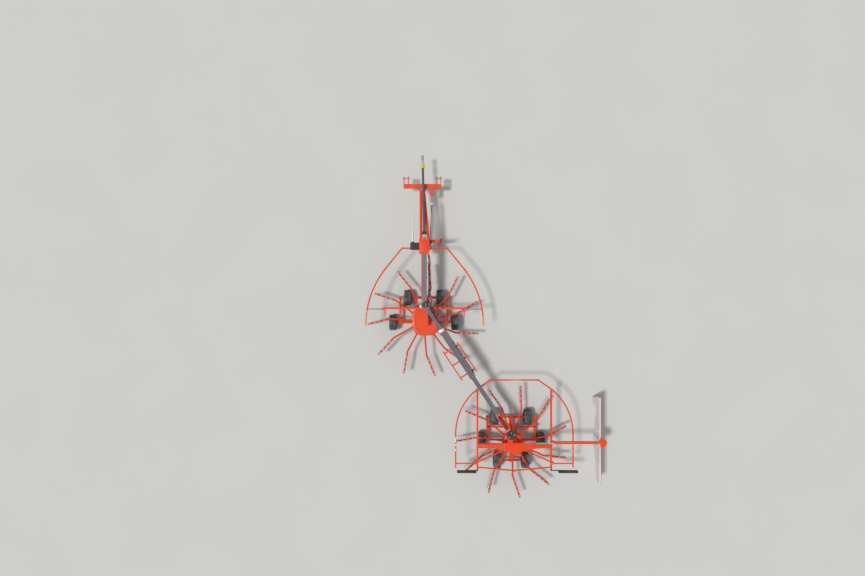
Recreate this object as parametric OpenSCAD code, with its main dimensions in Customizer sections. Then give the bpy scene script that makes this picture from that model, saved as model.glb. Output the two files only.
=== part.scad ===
// Twin rotor hay rake: a front rotor under the main beam, and a rear rotor
// on a telescopic beam that swings out to the right. +Y is forward, +Z is up.

/* [Rotors] */
// Distance from a rotor's axis to its arm tips
rotor_r = 1675; // [1600:5:1750]
// Number of arms on each rotor
arm_count = 11; // [9:1:12]
// Distance from the axis to the bend in an arm
arm_bend_r = 1020; // [960:5:1060]
// Angle of the bend in an arm
arm_bend = 18; // [8:1:24]
// Radius of an arm tube
arm_tube_r = 25; // [20:1:28]
// Height of the arms above the ground
arm_z = 560; // [550:5:580]
// Radius of the turning hub
hub_r = 300; // [240:5:360]
// Height of the turning hub
hub_h = 140; // [120:5:150]
// Direction of the front rotor's first arm
front_phase = 110.8; // [0:0.1:360]
// Direction of the rear rotor's first arm
rear_phase = 74.3; // [0:0.1:360]

/* [Tines] */
// Number of double tines on an arm
tine_pairs = 4; // [3:1:4]
// Distance between double tines along an arm
tine_pitch = 150; // [130:5:155]
// Distance between the two legs of a double tine
leg_gap = 84; // [60:2:90]
// Radius of the tine wire
wire_r = 5; // [4:0.5:6]
// Radius of the spring coils
coil_r = 22; // [18:1:26]
// Height of the tine tips above the ground
tine_tip_z = 18; // [10:1:40]

/* [Layout] */
// Front rotor's axis, sideways from the middle of the machine
front_x = -1803; // [-1830:1:-1780]
// Front rotor's axis, forward of the middle of the machine
front_y = 200; // [180:1:220]
// Rear rotor's axis, to the right of the front rotor's
rear_dx = 2640; // [2500:10:2700]
// Rear rotor's axis, behind the front rotor's
rear_dy = 3600; // [3500:10:3700]
// Main beam, sideways from the front rotor's axis
main_x = 30; // [0:5:60]

/* [Beams] */
// Width of the main beam
main_w = 130; // [110:5:150]
// Height of the main beam
main_h = 160; // [140:5:180]
// Underside of the main beam above the ground
main_z = 1020; // [1015:5:1030]
// Width and height of the swinging outer beam
outer_w = 160; // [150:5:170]
// Wall of the swinging outer beam
outer_wall = 8; // [6:1:12]
// Length of the narrow neck behind the front pivot
neck_len = 750; // [700:10:800]
// Distance from the front pivot to the mouth of the outer beam
mouth_at = 2500; // [2450:10:2560]
// Width and height of the sliding inner beam
inner_w = 124; // [110:2:130]
// Radius of the pivot pins
pivot_pin_r = 35; // [28:1:40]
// Radius of the eyes round the pivot pins
pivot_eye_r = 90; // [80:5:95]

/* [Guards] */
// Height of the guard tubes
guard_z = 990; // [985:1:992]
// Radius of a guard tube
guard_r = 21; // [17:1:24]
// Front guard: distance from the rotor's axis to the front bar
front_bar_y = 2143; // [2100:5:2180]
// Front guard: half width at the rotor
front_half_w = 1714; // [1700:2:1740]
// Front guard: radius of its side curve
front_side_r = 2655; // [2600:5:2700]
// Rear guard: distance from the rotor's axis to the front bar
rear_bar_y = 1908; // [1880:4:1940]
// Rear guard: half width at the rotor
rear_half_w = 1708; // [1700:2:1740]
// Rear guard: radius of its side curve
rear_side_r = 1650; // [1620:5:1680]
// Sideways distance of the front fold hinges
front_fold_x = 1190; // [1150:5:1230]
// Sideways distance of the rear rails
rail_x = 1072; // [1040:2:1090]

/* [Wheels] */
// Radius of a tyre
tyre_r = 240; // [225:1:245]
// Width of a tyre
tyre_w = 215; // [180:5:220]
// Radius of a rim
rim_r = 105; // [95:1:115]

/* [Hitch] */
// Height of the lower link pins
pin_z = 650; // [620:5:680]
// Distance between the middles of the two link pins
pin_span = 965; // [900:5:1000]
// Radius of a link pin
pin_r = 18.3; // [14:0.1:20]
// Clear space between the ears round a link pin
ear_gap = 100; // [80:2:110]
// Distance from the front rotor's axis to the hitch pivot
hitch_y = 3886; // [3850:2:3920]
// Hitch pivot, sideways from the front rotor's axis
hitch_x = -40; // [-60:2:0]

/* [Drive shaft] */
// Distance from the front rotor's axis to the shaft's front end
shaft_front_y = 4880; // [4800:10:4900]
// Height of the shaft's front end
shaft_front_z = 800; // [790:5:830]
// Radius of the guard tube round the shaft
shaft_tube_r = 38; // [30:1:42]
// Radius of the splined bore in the front yoke
shaft_bore_r = 17.5; // [15:0.5:22]

/* [Swath curtain] */
// Distance from the rear rotor's axis to the curtain
curtain_x = 2537; // [2480:1:2560]
// Length of the curtain
curtain_len = 2553; // [2400:1:2600]
// Height of the curtain's top rail
curtain_top = 880; // [850:5:900]
// Height of the curtain's lower hem
curtain_low = 70; // [50:5:120]
// Thickness of the curtain
curtain_t = 6; // [4:1:10]

/* [Parking jack] */
// Sideways distance of the jack from the front rotor's axis
jack_x = 509; // [480:1:540]
// Width of the jack's leg
jack_w = 60; // [50:2:70]

/* [Hidden] */
$fn = 48;

orange = "orangered";
steel = "silver";
gap = 0.3;

// The two rotor axes and the two beam pivots on the ground plan
front_axis = [front_x, front_y, 0];
rear_axis = [front_x + rear_dx, front_y - rear_dy, 0];
front_pivot = [main_x, 502];
rear_pivot = [-120, 370];

// The swinging beam runs from the front pivot to the rear pivot
beam_vec = [rear_dx + rear_pivot.x - front_pivot.x,
            -rear_dy + rear_pivot.y - front_pivot.y];
beam_len = norm(beam_vec);
beam_dir = atan2(beam_vec.y, beam_vec.x);
beam_low = 1120;

// Heights of the rotor column, from the ground up
hub_z = arm_z - 60;
hub_top = hub_z + hub_h;
case_z = hub_top + 50;
case_top = 880;
column_r = 50;
collar_r = 90;

// Carrier of the front rotor and the cross tube on it
carrier_top = main_z - 60;
cross_w = 60;
cross_y = 395;
cross_end = front_fold_x - 24;

// Rear cross beam
cross_beam_z = 950;
cross_beam_h = 110;
cross_beam_w = 120;
rail_w = 50;

// Fold hinges of the guards lie above the tubes
fold_z = guard_z + 35;
rear_fold_x = rail_x + 50;
knuckle_r = 18;
curtain_pin_r = 9;
rod_r = 13;
rod_z = fold_z + 110;
lever_x = rear_fold_x + 16;
lug_y = 60;
knuckle_len = 40;
fold_pin_r = 8;
arm_y = 100;

// Wheels: x, y of each axle end about its rotor's axis
axle_z = tyre_r;
front_wheels = [[-490, 690], [490, 690], [-940, -60], [940, -60]];
rear_wheels = [[-500, 670], [500, 670], [-900, -20], [900, -20], [-425, -640], [425, -640]];
axle_r = 15;
hub_half = 60;

// The outer stretch of an arm, from its bend to its tip
arm_out = sqrt(pow(rotor_r, 2) - pow(arm_bend_r * sin(arm_bend), 2)) - arm_bend_r * cos(arm_bend);
tine_end = 60;
holder_h = 15;

// Bracket between the drawbar and the main beam
bracket_x = [-129, 169];
bracket_y = [1980, 2410];
bracket_z = [900, 1190];
jack_y = 2365;

// Rear eye of the steering cylinder
steer_x = 232;
steer_y = 2250;
steer_z = 975;

// Front eye of the steering cylinder, beside the headstock's pivot
steer_eye = [hitch_x + 284, hitch_y - 136, pin_z];

// Play of a lower link pin in its ears
pin_play = 0.4;

// Lower and upper end of the drawbar's hitch sleeve
sleeve_z = [605, 755];

// Drive shaft from the bracket to its front end
shaft_back = [27, bracket_y[1], 1040];
shaft_front = [-35, shaft_front_y, shaft_front_z];

module at_front() {
    translate(front_axis) children();
}

module at_rear() {
    translate(rear_axis) children();
}

module mirror_if(left) {
    if (left) mirror([1, 0, 0]) children();
    else children();
}

// Round bar from point a to point b
module bar(a, b, r) {
    d = b - a;
    l = norm(d);
    translate(a) rotate([0, acos(d.z / l), atan2(d.y, d.x)]) cylinder(h = l, r = r);
}

// Box from one corner to the opposite one
module block(low, high) {
    translate(low) cube(high - low);
}

// Cylinder along Y between two distances
module along_y(x, z, y0, y1, r) {
    translate([x, y0, z]) rotate([-90, 0, 0]) cylinder(h = y1 - y0, r = r);
}

// Cylinder along X between two distances
module along_x(y, z, x0, x1, r) {
    translate([x0, y, z]) rotate([0, 90, 0]) cylinder(h = x1 - x0, r = r);
}

// Arc of guard tube on the right side, centre on the line y = cy
module guard_arc(half_w, side_r, cy, a0, a1) {
    translate([half_w - side_r, cy, guard_z]) rotate([0, 0, a0])
        rotate_extrude(angle = a1 - a0) translate([side_r, 0]) circle(r = guard_r);
}

// Point on that arc
function arc_point(half_w, side_r, cy, a) =
    [half_w - side_r + side_r * cos(a), cy + side_r * sin(a), guard_z];

// Straight run from the arc's end to the corner on the front bar
function corner(half_w, side_r, cy, a, bar_y) =
    let (p = arc_point(half_w, side_r, cy, a))
    [p.x - (bar_y - p.y) * tan(a), bar_y, guard_z];

// Angle at which the arc crosses a sideways distance
function arc_angle(half_w, side_r, x) = acos((x - half_w + side_r) / side_r);

// Side of the standing part of a guard, from the corner to the fold hinge
module guard_side(half_w, side_r, cy, a_end, bar_y, fold_x) {
    a_fold = arc_angle(half_w, side_r, fold_x - guard_r);
    a_short = a_end - 5 / side_r * 180 / PI;
    p = arc_point(half_w, side_r, cy, a_end);
    c = corner(half_w, side_r, cy, a_end, bar_y);
    d = (c - p) / norm(c - p);
    translate(c) rotate([0, 0, 100]) sphere(r = guard_r + 6);
    bar(c - d * 12, p + d * 5, guard_r);
    bar(p - d * 20, p + d * 20, guard_r + 3);
    guard_arc(half_w, side_r, cy, a_fold, a_short);
}

// Standing half of a fold hinge, ahead of y
module standing_knuckle(x, y, reach) {
    along_y(x, fold_z, y + 1, y + knuckle_len, knuckle_r);
    block([x - reach, y + 1, guard_z - 8], [x, y + knuckle_len, guard_z + 35]);
    along_y(x, fold_z, y - knuckle_len - 6, y + 2, fold_pin_r);
}

// Folding half of a fold hinge, behind y
module folding_knuckle(x, y, reach) {
    difference() {
        union() {
            along_y(x, fold_z, y - knuckle_len, y, knuckle_r);
            block([x + 6, y - knuckle_len, guard_z - 8], [x + reach, y, fold_z]);
        }
        along_y(x, fold_z, y - knuckle_len - 1, y + 1, fold_pin_r + gap);
    }
}

front_arc_y = -100;
front_arc_end = 39;
front_fold_y = arc_point(front_half_w, front_side_r, front_arc_y,
                         arc_angle(front_half_w, front_side_r, front_fold_x)).y;
rear_arc_y = 341;
rear_arc_end = 55;
rear_fold_y = arc_point(rear_half_w, rear_side_r, rear_arc_y,
                        arc_angle(rear_half_w, rear_side_r, rear_fold_x)).y;

// Main beam with the tongue and post that carry the front pivot pin
module main_beam() {
    color("slategray") at_front() {
        difference() {
            block([main_x - main_w / 2, 612, main_z],
                  [main_x + main_w / 2, bracket_y[0], main_z + main_h]);
            block([main_x - main_w / 2 + 8, 640, main_z + 8],
                  [main_x + main_w / 2 - 8, bracket_y[0] + 1, main_z + main_h - 8]);
        }
        block([main_x - main_w / 2, front_pivot.y, main_z],
              [main_x + main_w / 2, 620, beam_low - 5]);
        translate([front_pivot.x, front_pivot.y, carrier_top])
            cylinder(h = beam_low - gap - carrier_top, r = 75);
        translate([front_pivot.x, front_pivot.y, beam_low - 5])
            cylinder(h = outer_w + 20, r = pivot_pin_r);
        translate([front_pivot.x, front_pivot.y, beam_low + outer_w + gap])
            cylinder(h = 22, r = 55);
    }
}

// Welded bracket that joins drawbar, main beam, front guard and jack
module hitch_bracket() {
    color(orange) at_front() {
        block([bracket_x[0], bracket_y[0], bracket_z[0]],
              [bracket_x[1], bracket_y[1], bracket_z[1]]);
        block([bracket_x[1] - 5, jack_y - 40, 800], [jack_x - jack_w / 2 - 10, jack_y + 40, 880]);
        block([bracket_x[1] - 60, jack_y - 40, 800], [bracket_x[1], jack_y + 40, 905]);
        difference() {
            block([jack_x - jack_w / 2 - 10, jack_y - jack_w / 2 - 10, 720],
                  [jack_x + jack_w / 2 + 10, jack_y + jack_w / 2 + 10, 960]);
            block([jack_x - jack_w / 2 - gap, jack_y - jack_w / 2 - gap, 719],
                  [jack_x + jack_w / 2 + gap, jack_y + jack_w / 2 + gap, 961]);
        }
        for (z = [steer_z - 45, steer_z + 25])
            block([bracket_x[1] - 5, steer_y - 40, z], [steer_x + 30, steer_y + 40, z + 20]);
        along_y(shaft_back.x, shaft_back.z, bracket_y[1], bracket_y[1] + 30, 45);
    }
}

// Drawbar: two tubes that run together at the hitch sleeve
module drawbar() {
    sleeve = [hitch_x, hitch_y, 0];
    color(orange) at_front() {
        difference() {
            union() {
                bar([main_x - 105, bracket_y[1] + gap, 985], sleeve + [-45, -40, 685], 40);
                bar([main_x + 105, bracket_y[1] + gap, 985], sleeve + [45, -40, 685], 40);
                translate(sleeve + [0, 0, sleeve_z[0]])
                    cylinder(h = sleeve_z[1] - sleeve_z[0], r = 70);
                block([hitch_x - 75, 3480, 715], [hitch_x + 75, 3520, 790]);
                block([-20, 3490, 780], [20, 3510, 910]);
            }
            translate(sleeve + [0, 0, sleeve_z[0] - 1])
                cylinder(h = sleeve_z[1] - sleeve_z[0] + 2, r = 30 + gap);
            block([main_x - 200, bracket_y[1] - 100, 800],
                  [main_x + 200, bracket_y[1], 1200]);
            bar(shaft_back, shaft_front, shaft_tube_r + gap);
        }
    }
}

// Drive shaft with its guard tube, end cones and yokes
module pto_shaft() {
    l = norm(shaft_front - shaft_back);
    d = (shaft_front - shaft_back) / l;
    color("dimgray") at_front() {
        difference() {
            union() {
                bar(shaft_back + d * 34, shaft_back + d * 160, 34);
                bar(shaft_back + d * 140, shaft_back + d * 240, 62);
                bar(shaft_back + d * 220, shaft_front - d * 300, shaft_tube_r);
                bar(shaft_front - d * 360, shaft_front - d * 270, 55);
                bar(shaft_front - d * 280, shaft_front - d * 120, 30);
                bar(shaft_front - d * 130, shaft_front, 40);
            }
            bar(shaft_front - d * 90, shaft_front + d * 10, shaft_bore_r);
        }
    }
}

// Steering cylinder: barrel on the bracket, rod eye in the headstock's lug
module steering_rod() {
    back = [steer_x, steer_y, steer_z];
    front = steer_eye;
    d = (front - back) / norm(front - back);
    color("darkgray") at_front() {
        translate(back - [0, 0, 25 - gap]) cylinder(h = 50 - 2 * gap, r = 26);
        bar(back, back + d * 90, 14);
        bar(back + d * 60, back + d * 1260, 32);
        bar(back + d * 1200, front - d * 10, 14);
        translate(front - [0, 0, 33]) cylinder(h = 66, r = 30);
    }
}

// White marker rod in its dark socket
module marker_rod() {
    color("white") at_front() {
        block([-384, 2090, 1015], [bracket_x[0], 2294, 1150]);
        translate([-308, 2280, 1085]) rotate([-90, 0, 0]) cylinder(h = 780, r1 = 36, r2 = 20);
    }
}

// Fixed column, gear case and dished cover over a rotor hub
module gearcase(cover_r, cover_half) {
    translate([0, 0, axle_z + 40]) cylinder(h = case_z - axle_z - 40, r = column_r);
    translate([0, 0, hub_z - 60]) cylinder(h = 60 - gap, r = collar_r);
    translate([0, 0, hub_top + gap]) cylinder(h = case_z - hub_top, r = collar_r);
    translate([0, 0, case_z]) cylinder(h = case_top - case_z, r = 150);
    intersection() {
        difference() {
            translate([0, 0, case_z - 35]) cylinder(h = 70, r1 = cover_r, r2 = cover_r - 60);
            translate([0, 0, case_z - 36]) cylinder(h = 62, r1 = cover_r - 8, r2 = cover_r - 68);
        }
        block([-cover_r, -cover_half, 0], [cover_r, cover_half, case_top]);
    }
    along_y(0, 800, 100, 290, 62);
}

module front_gearcase() {
    color(orange) at_front() gearcase(500, 400);
}

// Carrier from the front pivot post to the gear case, with the cross tube
module front_carrier() {
    color(orange) at_front() {
        block([main_x - 100, -120, case_top], [main_x + 100, 560, carrier_top]);
        block([main_x - cross_end, cross_y - cross_w / 2, carrier_top - 5],
              [main_x + cross_end, cross_y + cross_w / 2, main_z]);
        for (left = [false, true])
            translate([main_x, 0, 0]) mirror_if(left) {
                standing_knuckle(front_fold_x, cross_y, 50);
                block([cross_end - 30, cross_y - 230, carrier_top], [cross_end, cross_y, main_z]);
            }
    }
}

// Standing part of the front guard, one side of the bracket each
module front_hoop() {
    color(orange) at_front() {
        for (left = [false, true])
            translate([main_x, 0, 0]) mirror_if(left) {
                start = left ? main_x - bracket_x[0] : bracket_x[1] - main_x;
                c = corner(front_half_w, front_side_r, front_arc_y, front_arc_end, front_bar_y);
                bar([start, front_bar_y, guard_z], c - [12, 0, 0], guard_r);
                guard_side(front_half_w, front_side_r, front_arc_y, front_arc_end,
                           front_bar_y, front_fold_x);
                standing_knuckle(front_fold_x, front_fold_y, 50);
            }
    }
}

// Folding part of the front guard
module front_guard(left) {
    a_fold = arc_angle(front_half_w, front_side_r, front_fold_x + 34);
    arm_at = cross_y - guard_r - 3;
    side_x = front_half_w - front_side_r + sqrt(pow(front_side_r, 2) - pow(arm_at - front_arc_y, 2));
    color(orange) at_front() translate([main_x, 0, 0]) mirror_if(left) {
        guard_arc(front_half_w, front_side_r, front_arc_y, 0, a_fold);
        bar([front_fold_x + 6, arm_at, guard_z], [side_x, arm_at, guard_z], guard_r - 3);
        folding_knuckle(front_fold_x, cross_y, 30);
        folding_knuckle(front_fold_x, front_fold_y - 10, 60);
    }
}

module front_guard_left() {
    front_guard(true);
}

module front_guard_right() {
    front_guard(false);
}

// One axle tube with a stub for the wheel at each end
module axle(x, y) {
    inner = x - tyre_w / 2 - 30;
    along_x(y, axle_z, -inner, inner, 32);
    along_x(y, axle_z, -x - hub_half, x + hub_half, axle_r);
}

// Spine under the column, with one axle at each pair of wheels
module carriage(wheels) {
    ys = [for (w = wheels) w.y];
    block([-50, min(ys) - 45, axle_z - 45], [50, max(ys) + 45, axle_z + 40]);
    for (i = [1:2:len(wheels) - 1])
        axle(wheels[i].x, wheels[i].y);
}

module front_carriage() {
    color(orange) at_front() carriage(front_wheels);
}

module rear_carriage() {
    color(orange) at_rear() carriage(rear_wheels);
}

// Turning hub with its bent arms and the tine holders on them
module rotor(phase) {
    difference() {
        union() {
            translate([0, 0, hub_z]) cylinder(h = hub_h, r = hub_r);
            for (i = [0:arm_count - 1])
                rotate([0, 0, phase - i * 360 / arm_count]) arm();
        }
        translate([0, 0, hub_z - 1]) cylinder(h = hub_h + 2, r = column_r + gap);
    }
}

module arm() {
    bend = [arm_bend_r, 0, arm_z];
    bar([hub_r - 40, 0, arm_z], bend, arm_tube_r);
    translate(bend) sphere(r = arm_tube_r);
    translate(bend) rotate([0, 0, arm_bend]) {
        along_x(0, 0, 0, arm_out, arm_tube_r);
        for (k = [0:tine_pairs - 1])
            translate([arm_out - tine_end - k * tine_pitch, 0, 0])
                block([-30, -18, -arm_tube_r - holder_h], [30, 18, -arm_tube_r + 8]);
    }
}

// Double spring tine: coil bar and two legs that trail down to the ground
module tine_pair() {
    coil_z = -arm_tube_r - holder_h - gap - coil_r;
    along_x(0, coil_z, -leg_gap / 2 - 8, leg_gap / 2 + 8, coil_r);
    for (s = [-1, 1])
        bar([s * leg_gap / 2, coil_r - wire_r, coil_z],
            [s * leg_gap / 2, -15, tine_tip_z + wire_r - arm_z], wire_r);
}

module rotor_tines(phase) {
    for (i = [0:arm_count - 1])
        rotate([0, 0, phase - i * 360 / arm_count]) translate([arm_bend_r, 0, arm_z])
            rotate([0, 0, arm_bend])
                for (k = [0:tine_pairs - 1])
                    translate([arm_out - tine_end - k * tine_pitch, 0, 0]) tine_pair();
}

module front_rotor() {
    color(orange) at_front() rotor(front_phase);
}

module rear_rotor() {
    color(orange) at_rear() rotor(rear_phase);
}

module front_tines() {
    color("black") at_front() rotor_tines(front_phase);
}

module rear_tines() {
    color("black") at_rear() rotor_tines(rear_phase);
}

// Headstock: pivot plates, cross bar and two forks for the link pins
module headstock() {
    bar_y = hitch_y + 119;
    color(orange) at_front() {
        difference() {
            union() {
                block([hitch_x - pin_span / 2 - 75, bar_y - 60, pin_z - 60],
                      [hitch_x + pin_span / 2 + 75, bar_y + 60, pin_z + 60]);
                for (z = [sleeve_z[0] - 30, sleeve_z[1] + gap])
                    pivot_plate(z, bar_y);
            }
            block([hitch_x - 120, hitch_y - 90, sleeve_z[0] - 5],
                  [hitch_x + 120, hitch_y + 90, sleeve_z[1] + gap]);
        }
        translate([hitch_x, hitch_y, sleeve_z[0] - 35])
            cylinder(h = sleeve_z[1] - sleeve_z[0] + 70, r = 30);
        for (s = [-1, 1])
            link_fork(hitch_x + s * pin_span / 2, bar_y);
        for (z = [pin_z - 47, pin_z + 35])
            block([steer_eye.x - 40, steer_eye.y - 28, z], [steer_eye.x + 40, bar_y - 55, z + 12]);
    }
}

// Pivot plate of the headstock
module pivot_plate(z, bar_y) {
    translate([hitch_x, hitch_y, z]) cylinder(h = 25, r = 80);
    block([hitch_x - 110, hitch_y, z], [hitch_x + 110, bar_y + 20, z + 25]);
}

// Two ears with the bore that takes the pin of a lower link, a seam ahead of the bar
module link_fork(x, bar_y) {
    reach = 170 - gap;
    for (s = [-1, 1])
        translate([x + s * (ear_gap + 25) / 2, bar_y + 60 + gap, pin_z])
            difference() {
                union() {
                    block([-12.5, 0, -60], [12.5, reach, 60]);
                    along_x(reach, 0, -12.5, 12.5, 60);
                }
                along_x(reach, 0, -13.5, 13.5, pin_r + pin_play);
            }
}

module jack_leg() {
    color(steel) at_front() {
        block([jack_x - jack_w / 2, jack_y - jack_w / 2, 10], [jack_x + jack_w / 2, jack_y + jack_w / 2, 1050]);
        block([jack_x - 100, jack_y - 100, 0], [jack_x + 100, jack_y + 100, 12]);
    }
}

// Everything on the swinging beam is drawn along +X from the front pivot
module along_beam() {
    at_front() translate([front_pivot.x, front_pivot.y, beam_low + outer_w / 2])
        rotate([0, 0, beam_dir]) children();
}

// Eye round a pivot pin
module pivot_eye() {
    translate([0, 0, -outer_w / 2]) cylinder(h = outer_w, r = pivot_eye_r);
}

module swing_beam() {
    color("slategray") along_beam() {
        difference() {
            union() {
                pivot_eye();
                block([60, -50, -outer_w / 2], [neck_len + 20, 50, outer_w / 2]);
                block([neck_len, -outer_w / 2, -outer_w / 2],
                      [mouth_at, outer_w / 2, outer_w / 2]);
                block([mouth_at - 60, -outer_w / 2 - 10, -outer_w / 2],
                      [mouth_at, outer_w / 2 + 10, outer_w / 2 + 10]);
            }
            translate([0, 0, -outer_w]) cylinder(h = 2 * outer_w, r = pivot_pin_r + gap);
            block([neck_len + 60, -outer_w / 2 + outer_wall, -outer_w / 2 + outer_wall],
                  [mouth_at - 40, outer_w / 2 - outer_wall, outer_w / 2 - outer_wall]);
            block([neck_len + 60, -inner_w / 2 - gap, -inner_w / 2 - gap],
                  [mouth_at + 1, inner_w / 2 + gap, inner_w / 2 + gap]);
        }
    }
}

// Inner beam: slides in the outer one and carries the rear pivot eye
module inner_beam() {
    inner_start = 1500;
    pad = outer_w / 2 - outer_wall - gap;
    color("slategray") along_beam() {
        difference() {
            union() {
                block([inner_start, -inner_w / 2, -inner_w / 2],
                      [beam_len - 60, inner_w / 2, inner_w / 2]);
                block([inner_start, -pad, -pad], [inner_start + 120, pad, pad]);
                translate([beam_len, 0, 0]) pivot_eye();
            }
            translate([beam_len, 0, -outer_w]) cylinder(h = 2 * outer_w, r = pivot_pin_r + gap);
        }
    }
}

// Two guard rails beside the outer beam and the flat ties that carry them
module beam_rails() {
    rails = [-310, 180];
    tie_z = -outer_w / 2 - 20;
    color(orange) along_beam() {
        for (y = rails)
            bar([1420, y, tie_z + 10], [2430, y, tie_z + 10], 17);
        for (x = [1480, 1900, 2320])
            block([x, rails[0], tie_z], [x + 40, rails[1], tie_z + 20]);
    }
}

// Cross beam over the rear rotor, with the post for the rear pivot
module rear_cross_beam() {
    color(orange) at_rear() {
        block([-rail_x + rail_w / 2, -cross_beam_w / 2, cross_beam_z],
              [rail_x - rail_w / 2, cross_beam_w / 2, cross_beam_z + cross_beam_h]);
        block([rear_pivot.x - 75, cross_beam_w / 2 - 5, cross_beam_z + 10],
              [rear_pivot.x + 75, rear_pivot.y, cross_beam_z + cross_beam_h]);
        translate([rear_pivot.x, rear_pivot.y, cross_beam_z + 10])
            cylinder(h = beam_low - gap - cross_beam_z - 10, r = 75);
        translate([rear_pivot.x, rear_pivot.y, beam_low - 5])
            cylinder(h = outer_w + 20, r = pivot_pin_r);
        translate([rear_pivot.x, rear_pivot.y, beam_low + outer_w + gap])
            cylinder(h = 40, r = 125);
        translate([0, 0, case_top]) cylinder(h = cross_beam_z - case_top + 5, r = 110);
        block([620, 20, cross_beam_z + cross_beam_h - 5], [660, lug_y, rod_z + 20]);
    }
}

module rear_gearcase() {
    color(orange) at_rear() gearcase(400, 400);
}

// Standing part of the rear guard: front bar, shoulders and hinge halves
module rear_hoop() {
    c = corner(rear_half_w, rear_side_r, rear_arc_y, rear_arc_end, rear_bar_y);
    color(orange) at_rear() {
        bar([12 - c.x, c.y, c.z], c - [12, 0, 0], guard_r);
        for (left = [false, true]) mirror_if(left) {
            guard_side(rear_half_w, rear_side_r, rear_arc_y, rear_arc_end,
                       rear_bar_y, rear_fold_x);
            standing_knuckle(rear_fold_x, rear_fold_y, 50);
        }
    }
}

// Two long square rails, coped to the guard tube, and the curtain arm's lugs
module rear_rails() {
    a_rail = arc_angle(rear_half_w, rear_side_r, rail_x);
    rail_front = arc_point(rear_half_w, rear_side_r, rear_arc_y, a_rail).y;
    color(orange) at_rear() {
        for (left = [false, true]) mirror_if(left) {
            difference() {
                block([rail_x - rail_w / 2, -656, guard_z - rail_w / 2],
                      [rail_x + rail_w / 2, rail_front, guard_z + rail_w / 2]);
                translate([rear_half_w - rear_side_r, rear_arc_y, guard_z])
                    rotate([0, 0, a_rail - 4]) rotate_extrude(angle = 8)
                        translate([rear_side_r, 0]) circle(r = guard_r + gap);
                block([rail_x - gap, rear_fold_y + 1 - gap, guard_z - 8 - gap],
                      [rail_x + rail_w, rear_fold_y + 80, guard_z + 40]);
            }
            standing_knuckle(rear_fold_x, -496, 40);
        }
        for (s = [-1, 1])
            block([rail_x + 5, arm_y + s * 45 - 7, guard_z],
                  [rear_fold_x + 22, arm_y + s * 45 + 7, fold_z + 20]);
        along_y(rear_fold_x, fold_z, arm_y - 50, arm_y + 50, curtain_pin_r);
    }
}

// Bent rear tube and the two braces that run to the rails
module rear_braces() {
    inner = rail_x - rail_w / 2;
    color(orange) at_rear() {
        for (s = [-1, 1])
            difference() {
                bar([s * 100, -38, guard_z], [s * (inner + 12), -475, guard_z], guard_r);
                block([-inner, -cross_beam_w / 2, cross_beam_z],
                      [inner, cross_beam_w / 2, cross_beam_z + cross_beam_h]);
                block([s * rail_x - rail_w / 2, -660, 900], [s * rail_x + rail_w / 2, 0, 1100]);
            }
        difference() {
            union() {
                for (s = [-1, 1])
                    bar([s * (inner + 12), -630, guard_z], [-s * 4, -729, guard_z], guard_r);
                translate([0, -729, guard_z - 26]) cylinder(h = 52, r = 30);
            }
            for (s = [-1, 1])
                block([s * rail_x - rail_w / 2, -660, 900], [s * rail_x + rail_w / 2, 0, 1100]);
        }
    }
}

// Dark lamp boards behind the rear guard: x of each board's middle
module lamp_boards() {
    boards = [-1385, 1570];
    color("black") at_rear() {
        for (x = boards) {
            s = sign(x);
            block([x - 280, -790, guard_z - 70], [x + 280, -735, guard_z + 40]);
            block([s > 0 ? rail_x - 20 : x, -735, guard_z - 15], [s > 0 ? x : -rail_x + 20, -715, guard_z + 15]);
            block([s * rail_x - 20, -720, guard_z - 15], [s * rail_x + 20, -656, guard_z + 15]);
        }
    }
}

// Barrel of the fold cylinder, with the foot that sits on its lug
module fold_cylinder() {
    color(steel) at_rear() difference() {
        union() {
            along_x(arm_y, rod_z, 600, 965, 22);
            block([625, lug_y, rod_z - 16], [655, arm_y, rod_z + 16]);
        }
        along_x(arm_y, rod_z, 720, 966, rod_r + gap);
    }
}

// Rod of the fold cylinder, opened at its eye
module fold_rod() {
    color(steel) at_rear() {
        along_x(arm_y, rod_z, 870, lever_x, rod_r);
        along_y(lever_x, rod_z, arm_y - 14, arm_y + 14, 22);
    }
}

// Folding part of the rear guard
module rear_guard(left) {
    a_fold = arc_angle(rear_half_w, rear_side_r, rear_fold_x + 34);
    end = arc_point(rear_half_w, rear_side_r, rear_arc_y, 0);
    color(orange) at_rear() mirror_if(left) {
        guard_arc(rear_half_w, rear_side_r, rear_arc_y, 5 / rear_side_r * 180 / PI, a_fold);
        along_y(end.x, guard_z, end.y - 20, end.y + 20, guard_r + 3);
        along_y(end.x, guard_z, -640, end.y - 5, guard_r);
        bar([rear_fold_x + 6, -520, guard_z], [end.x, -520, guard_z], guard_r - 3);
        folding_knuckle(rear_fold_x, -496, 30);
        folding_knuckle(rear_fold_x, rear_fold_y - 10, 60);
    }
}

module rear_guard_left() {
    rear_guard(true);
}

module rear_guard_right() {
    rear_guard(false);
}

// Curtain arm: knuckle, fork lever, tube, end plate and drop post
module curtain_arm() {
    arm_low = fold_z - 10;
    color(orange) at_rear() difference() {
        union() {
            along_y(rear_fold_x, fold_z, arm_y - 35, arm_y + 35, knuckle_r);
            block([rear_fold_x + 4, arm_y - 35, arm_low], [curtain_x + 60, arm_y + 35, arm_low + 70]);
            for (s = [-1, 1])
                block([rear_fold_x, arm_y + s * 27 - 6, fold_z],
                      [lever_x + 16, arm_y + s * 27 + 6, rod_z + 20]);
            block([curtain_x - 30, arm_y - 30, curtain_top + 22], [curtain_x + 30, arm_y + 30, arm_low + 5]);
            intersection() {
                translate([curtain_x, arm_y, arm_low]) cylinder(h = 70, r = 130);
                block([curtain_x - 40, arm_y - 130, arm_low], [curtain_x + 130, arm_y + 130, arm_low + 70]);
            }
        }
        along_y(rear_fold_x, fold_z, arm_y - 40, arm_y + 40, curtain_pin_r + gap);
    }
}

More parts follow.
